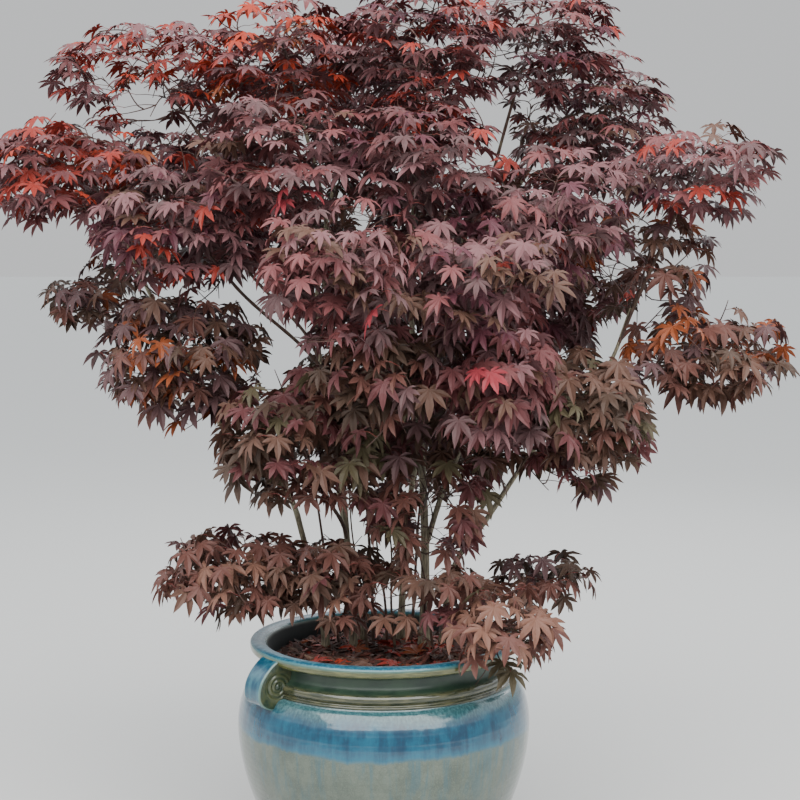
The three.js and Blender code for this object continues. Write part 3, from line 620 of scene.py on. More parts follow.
leader = {"parent": "main_stem", "at": 0.2, "route": [
    (112, 12, 700), (146, 0, 790), (190, -40, 1000), (238, -85, 1125)]}
limbTaper = {
    "tip": 0.0032, "swell": 0.55, "swellHeight": 0.026, "power": 0.8,
    "boughBase": 0.72, "boughLeast": 0.0034, "boughTip": 0.003,
}
barkForm = {
    "sides": 26, "pitch": 0.006, "seam": 0.027, "phase": 1.7,
    # each set of seams: its strength, how many run round the limb, how far and how fast they wander
    "seams": [(1, 5, 2.2, 19), (0.7, 9, -1.6, 31)],
    "knot": 0.11, "knotPitch": 0.062, "knotWidth": 0.09, "knotWander": (0.25, 9), "knotUneven": 0.4,
    "boughSides": 12, "boughStations": 40, "boughPull": 0.35, "boughInto": 0.004,
    "boughKnot": 0.09, "boughKnotPitch": 5, "boughKnotWidth": 0.8,
    "old": [(0.110, 0.092, 0.060), (0.32, 0.280, 0.195), (0.34, 0.33, 0.23)],
    "young": [(0.040, 0.022, 0.017), (0.115, 0.062, 0.045), (0.16, 0.13, 0.085)],
}
# slender canes that rise among the stems: foot, tip and radius in millimetres
canes = [
    ((8, 60), (-18, 40, 700), 2.6), ((-20, 70), (-42, 60, 1020), 3.0), ((52, 84), (96, 90, 960), 2.8),
    ((22, 20), (6, -60, 690), 2.4), ((-84, 64), (-168, 90, 880), 2.9), ((96, 20), (60, -70, 660), 2.2),
    ((-30, 10), (-66, -40, 730), 2.3),
]
caneForm = {
    "sink": 4, "stations": 60, "sides": 9, "base": 1.15, "taper": 0.7,
    "sway": (0.010, 0.008, 0.0), "waves": 7, "stillAt": 1.2,
}
# each mass: centre, half sizes, limb and seat on it as in the solids, then the palette of its leaves and
# how full it is
masses = {
    "left_tip": [(-598, 20, 1299), (176, 178, 103), "far_left_stem", "tip", 1, "red", 1.0],
    "left_crest": [(-424, 100, 1480), (201, 189, 105), "left_stem", "bough", 0.62, "red", 0.75],
    "left_middle": [(-356, -100, 1200), (161, 168, 128), "left_stem", "bough", 0.46, "mauve", 1.0],
    "left_small": [(-540, 150, 1062), (109, 120, 90), "far_left_stem", "side", 0.72, "orange", 0.4],
    "left_low": [(-372, -50, 966), (156, 158, 126), "far_left_stem", "side", 0.55, "orange", 0.85],
    "left_inner": [(-148, -160, 818), (149, 158, 138), "left_stem", "bough", 0.2, "bronze", 1.0],
    "skirt_left": [(-281, -50, 556), (140, 130, 82), "far_left_stem", "bough", 0.12, "brick", 1.0],
    "skirt_middle": [(-99, -70, 548), (100, 110, 102), "left_stem", "side", 0.1, "brick", 1.0],
    "crest_left": [(-180, -20, 1509), (149, 178, 111), "left_stem", "tip", 1, "red", 1.0],
    "crest": [(66, -50, 1513), (155, 189, 131), "main_stem", "tip", 1, "maroon", 1.0],
    "upper_left": [(-171, -180, 1320), (153, 158, 112), "left_stem", "bough", 0.66, "rose", 1.0],
    "upper_centre": [(64, -200, 1302), (141, 168, 124), "main_stem", "bough", 0.68, "maroon", 1.0],
    "centre_left": [(-55, -340, 1114), (149, 168, 131), "main_stem", "bough", 0.48, "rose", 1.0],
    "centre_right": [(154, -300, 1097), (148, 168, 125), "right_leader", "bough", 0.52, "mauve", 1.0],
    "middle_low_left": [(-14, -270, 951), (124, 147, 121), "main_stem", "bough", 0.36, "bronze", 1.0],
    "middle_low_right": [(167, -240, 923), (131, 158, 128), "right_leader", "bough", 0.34, "rose", 1.0],
    "right_low": [(346, -120, 850), (141, 158, 132), "right_stem", "side", 0.5, "bronze", 1.0],
    "lower_centre": [(85, -100, 725), (138, 136, 140), "main_stem", "side", 0.28, "bronze", 1.0],
    "skirt_front": [(76, -120, 539), (109, 115, 85), "main_stem", "side", 0.07, "brick", 1.0],
    "skirt_right": [(207, -215, 489), (94, 101, 89), "right_stem", "bough", 0.07, "salmon", 1.1],
    "twig_right": [(302, 60, 521), (103, 100, 65), "right_stem", "bough", 0.14, "bronze", 0.8],
    "right_upper": [(288, -120, 1217), (151, 168, 128), "right_leader", "tip", 1, "mauve", 0.85],
    "arm_top": [(573, -20, 1298), (150, 158, 89), "right_stem", "bough", 0.9, "mauve", 0.9],
    "right_middle": [(499, 80, 1132), (128, 147, 108), "right_stem", "tip", 1, "orange", 0.55],
    "arm_low": [(604, -10, 965), (167, 158, 92), "right_stem", "side", 0.7, "orange", 0.7],
    "rear_crest_right": [(421, 330, 1408), (166, 189, 152), "rear_right_stem", "tip", 1, "mauve", 0.9],
    "crest_right": [(294, 180, 1582), (150, 189, 126), "rear_right_stem", "bough", 0.7, "maroon", 0.9],
    "rear_left": [(-385, 370, 1258), (228, 225, 182), "rear_left_stem", "bough", 0.55, "maroon", 0.9],
    "rear_top": [(-69, 360, 1464), (204, 225, 151), "rear_left_stem", "tip", 1, "maroon", 0.9],
    "rear_middle": [(36, 455, 1132), (249, 225, 190), "rear_left_stem", "bough", 0.45, "bronze", 0.9],
    "rear_right": [(345, 350, 1105), (165, 235, 176), "rear_right_stem", "bough", 0.5, "mauve", 0.9],
    "rear_low": [(40, 310, 835), (250, 215, 166), "rear_right_stem", "side", 0.36, "bronze", 0.75],
}
massKeys = ("centre", "half", "limb", "seat", "at", "palette", "fullness")
masses = {name: dict(zip(massKeys, row)) for name, row in masses.items()}
for mass in masses.values():
    mass["centre"] = np.array(mass["centre"]) / 1000
    mass["half"] = np.array(mass["half"]) / 1000
    mass["weight"] = float(np.prod(mass["half"]) ** (2 / 3))


def curveFrom(points):
    # a line of close points with the share of its length at each
    lengths = np.concatenate([[0], np.cumsum(np.linalg.norm(np.diff(points, axis=0), axis=1))])
    return {"points": points, "shares": lengths / lengths[-1], "length": lengths[-1]}


def along(curve, shares):
    # the points at shares of a curve's length
    return np.stack([np.interp(shares, curve["shares"], curve["points"][:, axis]) for axis in range(3)], -1)


def heading(curve, share, nudge=0.004):
    # the curve's direction at a share of its length
    return unit(along(curve, min(1, share + nudge)) - along(curve, max(0, share - nudge)))


def centripetal(route, steps=60):
    # a Catmull-Rom curve whose knots lie the square root of a chord apart, as a cubic for each stretch
    knots = np.concatenate([[2 * route[0] - route[1]], route, [2 * route[-1] - route[-2]]])
    gap = np.sqrt(np.linalg.norm(np.diff(knots, axis=0), axis=1))[:, None]
    p0, p1, p2, p3 = knots[:-3], knots[1:-2], knots[2:-1], knots[3:]
    g0, g1, g2 = gap[:-2], gap[1:-1], gap[2:]
    leave = g1 * ((p1 - p0) / g0 - (p2 - p0) / (g0 + g1) + (p2 - p1) / g1)
    arrive = g1 * ((p2 - p1) / g1 - (p3 - p1) / (g1 + g2) + (p3 - p2) / g2)
    t = np.linspace(0, 1, steps, endpoint=False)[None, :, None]
    square = 3 * (p2 - p1) - 2 * leave - arrive
    cube = 2 * (p1 - p2) + leave + arrive
    terms = [factor[:, None, :] for factor in (p1, leave, square, cube)]
    points = (terms[0] + terms[1] * t + terms[2] * t ** 2 + terms[3] * t ** 3).reshape(-1, 3)
    return curveFrom(np.concatenate([points, route[-1:]]))


def bezier(controls, steps=80):
    # a Bezier curve of any degree: its controls weighted by the terms of (1 - t + t) to that degree
    degree = len(controls) - 1
    t = np.linspace(0, 1, steps)[:, None]
    weights = [math.comb(degree, i) * (1 - t) ** (degree - i) * t ** i for i in range(degree + 1)]
    return curveFrom(sum(weight * np.asarray(control)[None] for weight, control in zip(weights, controls)))


def insideSpace(mass, points, margin, grown=0):
    # inside the mass's ellipsoid, grown by a length, and on its own side of the flat border with each
    # neighbour, where the squared distances to the two centres, each less its mass's weight, are the same
    inside = np.sum(((points - mass["centre"]) / (mass["half"] + grown)) ** 2, axis=-1) <= 1
    own = np.sum((points - mass["centre"]) ** 2, axis=-1) - mass["weight"]
    for other in masses.values():
        if other is not mass:
            theirs = np.sum((points - other["centre"]) ** 2, axis=-1) - other["weight"]
            inside &= (theirs - own) / (2 * np.linalg.norm(other["centre"] - mass["centre"])) > margin
    return inside


def reachInside(mass, start, direction, step=0.006, steps=120, margin=0.0012):
    # how far a ray stays inside the space, in short steps
    reaches = np.arange(1, steps) * step
    blocked = ~insideSpace(mass, start + reaches[:, None] * direction, margin)
    return step * int(np.argmax(blocked))


def tubes(lines, radii, sides, relief=None):
    # circles of the given radii square to each line, joined into closed tapering tubes
    count, stations = radii.shape
    forward = unit(np.gradient(lines, axis=1))
    chord = np.abs(lines[:, -1] - lines[:, 0])
    across = unit(np.cross(forward, np.eye(3)[np.argmin(chord, axis=1)][:, None, :]))
    over = np.cross(forward, across)
    turn = np.arange(sides) * 2 * np.pi / sides
    ring = across[:, :, None, :] * np.cos(turn)[:, None] + over[:, :, None, :] * np.sin(turn)[:, None]
    swell = radii[:, :, None, None] * (1 if relief is None else relief[..., None])
    body = (lines[:, :, None, :] + swell * ring).reshape(count, -1, 3)
    points = np.concatenate([body, lines[:, :1], lines[:, -1:]], axis=1)
    total = stations * sides + 2
    offset = np.arange(count)[:, None, None] * total
    quads = (gridFaces(stations, sides)[None] + offset).reshape(-1, 4)
    side = np.arange(sides)
    following = (side + 1) % sides
    first = np.stack([np.full(sides, total - 2), following, side], 1)
    last = np.stack([np.full(sides, total - 1), side + total - 2 - sides, following + total - 2 - sides], 1)
    return points, quads, (np.concatenate([first, last])[None] + offset).reshape(-1, 3)


def barkPaint(name, dark, light, lichen):
    # long seams mix the first two colours and patches of lichen lie over them
    paint = Paint(name)
    spot, (x, y, z) = paint.place()
    seams = paint.noise(paint.vector(x * 420, y * 420, z * 34), 1.0, 4.0, 0.6)
    patches = paint.noise(spot, 26.0, 3.0)
    colour = paint.mix(paint.step(seams, 0.36, 0.62), dark, light)
    colour = paint.mix(paint.step(patches, 0.54, 0.70) * 0.7, colour, lichen)
    normal = paint.bump(seams, 0.5, 0.0012)
    return paint.finish(Base_Color=colour, Roughness=0.62 + seams * 0.2, Normal=normal)


limbs = {}  # each stem's and bough's curve and its radius at a share of it


def addStemBark(name, curve, radiusAt, material, slotName):
    # the limb's tube with wandering seams along it and a slight swelling at each knot
    stations = int(curve["length"] / barkForm["pitch"])
    share = np.linspace(0, 1, stations)
    turn = np.arange(barkForm["sides"]) * 2 * np.pi / barkForm["sides"]
    run = (share * curve["length"])[:, None]
    phase = len(limbs) * barkForm["phase"]
    seams = sum(strength * np.sin(count * turn + wander * np.sin(run * pace + phase))
                for strength, count, wander, pace in barkForm["seams"])
    (wander, pace), uneven = barkForm["knotWander"], barkForm["knotUneven"]
    offKnot = (run / barkForm["knotPitch"] + wander * np.sin(run * pace)) % 1 - 0.5
    knots = np.exp(-(offKnot / barkForm["knotWidth"]) ** 2) * (1 - uneven + uneven * np.sin(turn + phase))
    relief = 1 + barkForm["seam"] * seams + barkForm["knot"] * knots
    line = along(curve, share)
    points, quads, caps = tubes(line[None], radiusAt(share)[None], barkForm["sides"], relief[None])
    piece = addPiece(name + "_bark", points, [quads, caps], material, slotName)
    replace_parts(piece, name)


def stemTaper(stem, curve):
    # the radius falls by a power of the share of the length, and swells towards the foot
    foot, swellHeight = stem["radius"] / 1000, limbTaper["swellHeight"]

    def radiusAt(share):
        taper = foot + (limbTaper["tip"] - foot) * share ** limbTaper["power"]
        return taper * (1 + limbTaper["swell"] * np.exp(-share * curve["length"] / swellHeight))

    return radiusAt


def boughTaper(parent, at, tip):
    # from a share of the parent's radius straight down to the tip's
    base = max(limbTaper["boughLeast"], limbTaper["boughBase"] * parent["radiusAt"](at))
    return lambda share: base + (tip - base) * share


def growStems():
    # each stem rises straight off the mix and then runs through its route; the leader forks off the main stem
    old = barkPaint("old_bark", *barkForm["old"])
    for name, stem in stems.items():
        foot = np.array([*stem["foot"], 1000 * (soilTop + clearance)]) / 1000
        rise = np.array([*stem["foot"], 1000 * (soilTop + limbTaper["swellHeight"])]) / 1000
        curve = centripetal(np.array([foot, rise, *(np.array(stem["route"]) / 1000)]))
        limbs[name] = {"curve": curve, "radiusAt": stemTaper(stem, curve)}
        addStemBark(name, curve, limbs[name]["radiusAt"], old, "old_bark")
    parent = limbs[leader["parent"]]
    start = along(parent["curve"], leader["at"])
    curve = centripetal(np.array([start, *(np.array(leader["route"]) / 1000)]))
    limbs["right_leader"] = {"curve": curve, "radiusAt": boughTaper(parent, leader["at"], limbTaper["tip"])}
    addStemBark("right_leader", curve, limbs["right_leader"]["radiusAt"], old, "young_bark")


def growBoughs(bark):
    # from its place on the limb, along the limb's own heading first, to the edge of the mass and towards its
    # centre, with a knot every few stations
    lines, radii = [], []
    count, sides, pull = barkForm["boughStations"], barkForm["boughSides"], barkForm["boughPull"]
    stations = np.linspace(0, 1, count)
    for name, mass in masses.items():
        if mass["seat"] != "bough":
            continue
        parent = limbs[mass["limb"]]
        start, leaving = along(parent["curve"], mass["at"]), heading(parent["curve"], mass["at"])
        inward = unit(mass["centre"] - start)
        end = mass["centre"] - inward * (reachInside(mass, mass["centre"], -inward) - barkForm["boughInto"])
        span = np.linalg.norm(end - start)
        curve = bezier([start, start + leaving * pull * span, end - inward * pull * span, end])
        radiusAt = boughTaper(parent, mass["at"], limbTaper["boughTip"])
        limbs[name + "_bough"] = {"curve": curve, "radiusAt": radiusAt}
        lines.append(along(curve, stations))
        radii.append(radiusAt(stations))
    pitch = barkForm["boughKnotPitch"]
    knots = np.exp(-((np.arange(count) % pitch - pitch // 2) / barkForm["boughKnotWidth"]) ** 2)
    relief = 1 + barkForm["boughKnot"] * knots[None, :, None] * np.ones((len(lines), 1, sides))
    points, quads, caps = tubes(np.array(lines), np.array(radii), sides, relief)
    piece = addPiece("boughs_bark", points, [quads, caps], bark, "young_bark")
    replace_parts(piece, *[name for name in limbs if name.endswith("_bough")])


def growCanes(form, bark):
    # straight lines from foot to tip that sway in a wave, most near the middle, and taper
    feet = np.array([[*foot, 1000 * soilTop - form["sink"]] for foot, _, _ in canes]) / 1000
    tips = np.array([tip for _, tip, _ in canes]) / 1000
    t = np.linspace(0, 1, form["stations"])[None, :, None]
    lean = feet[:, None] + (tips - feet)[:, None] * t
    phase = np.arange(len(canes))[:, None, None]
    wave = np.array(form["sway"]) * np.sin(t * form["waves"] + phase) * t * (form["stillAt"] - t)
    size = np.array([radius for _, _, radius in canes])[:, None] / 1000
    points, quads, caps = tubes(lean + wave, size * (form["base"] - form["taper"] * t[..., 0]), form["sides"])
    addPiece("canes_bark", points, [quads, caps], bark, "young_bark")


growStems()
youngBark = barkPaint("young_bark", *barkForm["young"])
growBoughs(youngBark)
growCanes(caneForm, youngBark)
print("stems, boughs and canes grown:", len(limbs), "limbs")

growth = {
    # the side twigs that the solids have too
    "sideTwigs": 5, "shell": 0.66, "highest": 0.9, "lowest": -0.6, "goldenTurn": 2.4, "forward": 0.2,
    "nodes": (0.2, 0.95), "border": 0.002, "spineEnd": 0.55, "straight": 0.7, "arch": 0.10, "probes": 21,
    # the further twigs: the room that each takes up, their number and their layers
    "room": 0.000175, "least": 14, "most": 130, "cloud": 1800,
    "layer": 0.056, "layerPull": 0.7, "layerSpread": 0.010,
    "spineStarts": (0.12, 1, 23), "twigStarts": (0.35, 0.55, 0.75), "follow": 0.3, "stepBack": 0.35,
    "shortest": 0.02, "sag": 0.02, "steps": 24, "loose": 0.7,
    # radii, and the finer twigs near each twig's end
    "seatShare": 0.9, "spineTip": 0.0013, "twigBase": 0.0014, "twigTip": 0.0007,
    "fineBase": 0.0008, "fineTip": 0.0005,
    "fineBack": (0.028, 0.052), "fineSpread": 1.1, "fineRise": (-0.25, 0.3), "fineLength": (0.040, 0.062),
    "fineArch": 0.006, "fineSteps": 12, "sameTint": 0.5, "fineEnd": 0.97, "pairBack": (0.0, 0.026),
    "firstPair": 0.1, "firstFine": 0.15, "fineLevel": [1, 1, 0.2],
    "spineStations": 16, "twigStations": 7, "fineStations": 4,
    # how far hubs and tips of leaves may pass the border and the ellipsoid
    "hubRoom": (-0.012, 0.004), "tipRoom": (-0.037, 0.026), "boxInset": 0.016, "seed": 7,
    "spineSides": 8, "twigSides": 6, "fineSides": 4, "bark": (0.060, 0.026, 0.020), "barkRoughness": 0.55,
}
# gaps read off the photo's 800 by 800 frame as across, down and radius: sky gaps through the whole crown, and
# windows that only clear the leaves before the stems; scale and middle turn them into places on the plane
sightGaps = {
    "plane": -0.1, "before": 0.0, "frame": 400, "scale": 554, "middle": (0.03, 0.884),
    "windows": [
        (422, 462, 13), (421, 480, 14), (423, 498, 14), (425, 516, 15), (427, 534, 15), (426, 552, 15),
        (424, 568, 14), (436, 522, 13), (443, 506, 13), (450, 490, 13), (456, 474, 13), (461, 456, 12),
        (467, 440, 11), (296, 522, 12), (292, 506, 12), (287, 490, 10), (505, 492, 12), (494, 508, 12),
        (484, 524, 12)],
    "places": [
        (305, 140, 13), (365, 215, 15), (420, 275, 11), (500, 140, 19), (325, 285, 11), (283, 338, 10),
        (610, 260, 19), (268, 382, 13), (550, 482, 17), (150, 105, 27), (110, 78, 16), (88, 126, 14),
        (190, 122, 13), (497, 60, 17), (531, 101, 14), (395, 602, 23), (362, 530, 15), (612, 332, 20),
        (652, 292, 18), (588, 296, 12), (676, 338, 12), (310, 60, 9), (200, 8, 15),
        (222, 2, 15), (245, -3, 14), (268, -4, 13), (291, -7, 14), (315, -9, 14)],
}
leafForm = {
    # the blade, in leaf lengths
    "angles": [-118, -75, -37, 0, 37, 75, 118], "lengths": [0.46, 0.76, 0.94, 1.0, 0.94, 0.76, 0.46],
    "outerAngle": 150, "sinus": 0.33, "outerSinus": 0.12, "width": 0.150, "widthAtEnd": 0.094,
    "stations": (0.40, 0.54, 0.64, 0.79), "droop": (0.16, 0.50), "fold": (0.25, 0.6), "notchLift": 0.06,
    "angleSpread": 3.0, "lengthSpread": (0.9, 1.08), "twist": 0.04, "variants": 16, "seed": 19,
    # how the leaves sit on the twigs; those near the top of the crown are smaller and hang less
    "size": (0.032, 0.054), "sizeBell": 1.6, "hang": (0.4, 1.5), "topHang": 0.72, "topShrink": 0.2,
    "topFrom": 0.95, "topReach": 0.5, "tilt": 0.8, "faceSpread": 0.22, "apart": 0.020,
    "aside": (0.6, 1.1), "ahead": 0.6, "outward": 0.35, "outwardSpread": (0.2, 1.3), "awayPull": 0.4,
    "petiole": (0.018, 0.034), "petioleRise": (-0.1, 0.35), "petioleArch": 0.12, "petioleRadius": 0.00055,
    "petioleSides": 3, "petioleTint": (0.20, 0.035, 0.030), "petioleRoughness": 0.45,
    "roughness": 0.5, "specular": 0.25,
}
# each tint's colour and a slot name for its leaves
tints = {
    "scarlet": [(0.30, 0.032, 0.014), "red_leaves"], "red": [(0.225, 0.028, 0.020), "red_leaves"],
    "maroon": [(0.098, 0.032, 0.034), "maroon_leaves"], "plum": [(0.085, 0.026, 0.036), "maroon_leaves"],
    "mauve": [(0.150, 0.068, 0.074), "mauve_leaves"], "dusk": [(0.092, 0.048, 0.050), "mauve_leaves"],
    "rose": [(0.150, 0.048, 0.050), "rose_leaves"], "crimson": [(0.25, 0.034, 0.044), "rose_leaves"],
    "bronze": [(0.098, 0.050, 0.036), "bronze_leaves"], "umber": [(0.060, 0.036, 0.026), "bronze_leaves"],
    "brick": [(0.110, 0.045, 0.036), "salmon_leaves"], "salmon": [(0.160, 0.078, 0.056), "salmon_leaves"],
    "orange": [(0.200, 0.050, 0.018), "orange_leaves"], "olive": [(0.074, 0.060, 0.034), "bronze_leaves"],
}
# how often each tint turns up among a palette's sprays
palettes = {
    "red": {"scarlet": 5, "red": 6, "maroon": 4, "rose": 3, "orange": 1, "mauve": 6},
    "maroon": {"maroon": 4, "plum": 2, "rose": 2, "mauve": 2, "dusk": 2, "red": 1},
    "mauve": {"mauve": 8, "dusk": 5, "rose": 3, "plum": 2, "bronze": 2, "red": 1},
    "rose": {"rose": 8, "mauve": 8, "maroon": 4, "crimson": 0.6, "dusk": 4, "bronze": 2},
    "bronze": {"bronze": 8, "umber": 5, "maroon": 4, "olive": 2, "brick": 3, "dusk": 2},
    "orange": {"bronze": 6, "orange": 4, "brick": 5, "dusk": 5, "umber": 2, "olive": 1},
    "brick": {"brick": 4, "bronze": 3, "umber": 1, "salmon": 1, "maroon": 1},
    "salmon": {"salmon": 4, "brick": 3, "olive": 1},
}


def leafShapes(form):
    # seven lobes round a hub: each has a midrib, its widest place, a narrower one and a tip, with a notch
    # between neighbours; the lobes arch down by the square of their reach and their edges stand up from the
    # midrib
    rng = np.random.default_rng(form["seed"])
    count, lobes = form["variants"], len(form["angles"])
    angles = np.radians(np.array(form["angles"]) + rng.normal(0, form["angleSpread"], (count, lobes)))
    lengths = np.array(form["lengths"]) * rng.uniform(*form["lengthSpread"], (count, lobes))
    ends = math.radians(form["outerAngle"]) * np.ones((count, 1))
    notchAngles = np.concatenate([-ends, (angles[:, 1:] + angles[:, :-1]) / 2, ends], 1)
    outer = np.full((count, 1), form["outerSinus"])
    notchReach = np.concatenate([outer, form["sinus"] * (lengths[:, 1:] + lengths[:, :-1]) / 2, outer], 1)
    notches = np.stack([notchReach * np.cos(notchAngles), notchReach * np.sin(notchAngles)], -1)
    ahead = np.stack([np.cos(angles), np.sin(angles)], -1)
    aside = np.stack([-np.sin(angles), np.cos(angles)], -1)
    middle, wide, further, narrow = form["stations"]
    places = [(middle, 0), (wide, -form["width"]), (wide, form["width"]), (further, 0),
              (narrow, -form["widthAtEnd"]), (narrow, form["widthAtEnd"]), (1, 0)]
    lobePoints = np.stack([lengths[..., None] * (ahead * out + aside * side) for out, side in places], 2)
    flat = np.concatenate([np.zeros((count, 1, 2)), notches, lobePoints.reshape(count, -1, 2)], 1)
    droop = rng.uniform(*form["droop"], (count, 1))
    lobeEdges = np.tile([abs(side) for _, side in places], lobes)
    edges = np.concatenate([[0], np.full(lobes + 1, form["notchLift"]), lobeEdges])
    height = rng.uniform(*form["fold"], (count, 1)) * edges - droop * np.sum(flat ** 2, -1)
    give = np.array([0.3, 0.6, 0.6, 0.8, 1, 1, 1.6])  # how far each of a lobe's seven corners twists
    twist = rng.normal(0, form["twist"], (count, lobes))[:, :, None] * give
    height[:, 2 + lobes:] += twist.reshape(count, -1)
    points = np.concatenate([flat, height[..., None]], -1)
    triangles, quads = [], []
    for lobe in range(lobes):
        right, left, base = 1 + lobe, 2 + lobe, 2 + lobes + 7 * lobe
        m1, r1, l1, m2, r2, l2, tip = range(base, base + 7)
        triangles += [(0, right, m1), (right, r1, m1), (r2, tip, m2)]
        triangles += [(0, m1, left), (left, m1, l1), (l2, m2, tip)]
        quads += [(r1, r2, m2, m1), (l1, m1, m2, l2)]
    return points, [np.array(triangles), np.array(quads)]


def placeLeaves(hubs, pointing, face, sizes, shapes, rng):
    # each leaf's own axes, ahead and across its blade, carry one of the shapes
    ahead = unit(pointing)
    across = unit(np.cross(face, ahead))
    axes = np.stack([ahead, across, np.cross(ahead, across)], 1)
    points, faces = shapes
    chosen = points[rng.integers(0, len(points), len(hubs))]
    placed = hubs[:, None, :] + sizes[:, None, None] * np.einsum("nvk,nkd->nvd", chosen, axes)
    first = np.arange(len(hubs))[:, None, None] * points.shape[1]
    return placed, [(first + part[None]).reshape(-1, part.shape[1]) for part in faces]


def leafPaint(name, colour):
    # one plain tint for a spray, dull like a leaf
    surface = {"Roughness": leafForm["roughness"], "Specular_IOR_Level": leafForm["specular"]}
    return Paint(name + "_leaf").finish(Base_Color=colour, **surface)


def spreadTips(mass, rng):
    # places through the mass's whole space in rough layers: each is about the furthest from those chosen
    # before it
    amount = growth["cloud"]
    cloud = unit(rng.normal(size=(amount, 3))) * rng.uniform(0, 1, (amount, 1)) ** (1 / 3) * mass["half"]
    cloud += mass["centre"]
    cloud = cloud[insideSpace(mass, cloud, growth["border"])]
    volume = 4 / 3 * np.pi * np.prod(mass["half"]) * len(cloud) / amount
    count = int(np.clip(volume / growth["room"] * mass["fullness"], growth["least"], growth["most"]))
    chosen = [0]
    distance = np.linalg.norm(cloud - cloud[0], axis=1)
    while len(chosen) < min(count, len(cloud)):
        chosen.append(int(np.argmax(distance * rng.uniform(growth["loose"], 1, len(cloud)))))
        distance = np.minimum(distance, np.linalg.norm(cloud - cloud[chosen[-1]], axis=1))
    tips = cloud[chosen]
    level = np.round(tips[:, 2] / growth["layer"]) * growth["layer"]
    tips[:, 2] += (level - tips[:, 2]) * growth["layerPull"] + rng.normal(0, growth["layerSpread"], len(tips))
    return tips


def sideTips(mass, rng):
    # the solids' own side twigs: tips on a shell inside the space, from high to low, turned by the golden
    # angle
    order = np.arange(growth["sideTwigs"])
    lift = growth["highest"] + (growth["lowest"] - growth["highest"]) * order / (growth["sideTwigs"] - 1)
    turn = rng.uniform(0, 2 * np.pi) + order * growth["goldenTurn"]
    flat = np.sqrt(1 - lift ** 2)
    outward = np.stack([flat * np.cos(turn), flat * np.sin(turn), lift], 1)
    tips = mass["centre"] + outward * mass["half"] * growth["shell"]
    return tips[insideSpace(mass, tips, growth["border"])]


def growTwigs(mass, spine, rng):
    # side twigs leave the spine as on the solids; then each further tip, the nearest to the seat first, grows
    # from the nearest point of the spine and of the twigs before it
    steps, lift = growth["steps"], up * growth["arch"]
    probe = along(spine, np.linspace(0, 1, growth["probes"]))
    twigs = []
    for tip in sideTips(mass, rng):
        nearest = np.argmin(np.linalg.norm(probe - tip, axis=1)) / (growth["probes"] - 1)
        node = along(spine, float(np.clip(nearest - growth["forward"], *growth["nodes"])))
        lifted = (node + tip) / 2 + lift * np.linalg.norm(tip - node)
        twigs.append({"curve": bezier([node, lifted, tip], steps), "parent": -1})
    shares, inner = np.linspace(*growth["spineStarts"]), np.array(growth["twigStarts"])
    points = np.concatenate([along(spine, shares)] + [along(twig["curve"], inner) for twig in twigs])
    headings = [heading(spine, share) for share in shares]
    headings = np.array(headings + [heading(twig["curve"], share) for twig in twigs for share in inner])
    parents = [-1] * len(shares) + [index for index in range(len(twigs)) for _ in inner]
    tips = spreadTips(mass, rng)
    for tip in tips[np.argsort(np.linalg.norm(tips - spine["points"][0], axis=1))]:
        gaps = np.linalg.norm(points - tip, axis=1)
        behind = np.sum((tip - points) * headings, axis=1) / np.maximum(gaps, 0.001)
        nearest = int(np.argmin(gaps + growth["stepBack"] * gaps * (1 - behind)))
        start, leaving, span = points[nearest], headings[nearest], gaps[nearest]
        if span < growth["shortest"]:
            continue
        bend = start + (leaving * growth["follow"] + lift) * span
        curve = bezier([start, bend, tip - up * growth["sag"] * span, tip], steps)
        twigs.append({"curve": curve, "parent": parents[nearest]})
        points = np.concatenate([points, along(curve, inner)])
        headings = np.concatenate([headings, [heading(curve, share) for share in inner]])
        parents += [len(twigs) - 1] * len(inner)
    return twigs


def growSpine(mass):
    # from the mass's seat on its limb, straight on at first, through the centre and some way past it
    sideSeat = mass["seat"] == "side"
    limb = limbs[mass["limb"]] if mass["seat"] != "bough" else limbs[mass["name"] + "_bough"]
    seat = along(limb["curve"], mass["at"] if sideSeat else 1)
    centre = mass["centre"]
    beyond = unit(centre - seat)
    leaving = beyond if sideSeat else heading(limb["curve"], 1)
    far = centre + beyond * growth["spineEnd"] * reachInside(mass, centre, beyond)
    return bezier([seat, seat + leaving * growth["straight"] * np.linalg.norm(centre - seat), far])


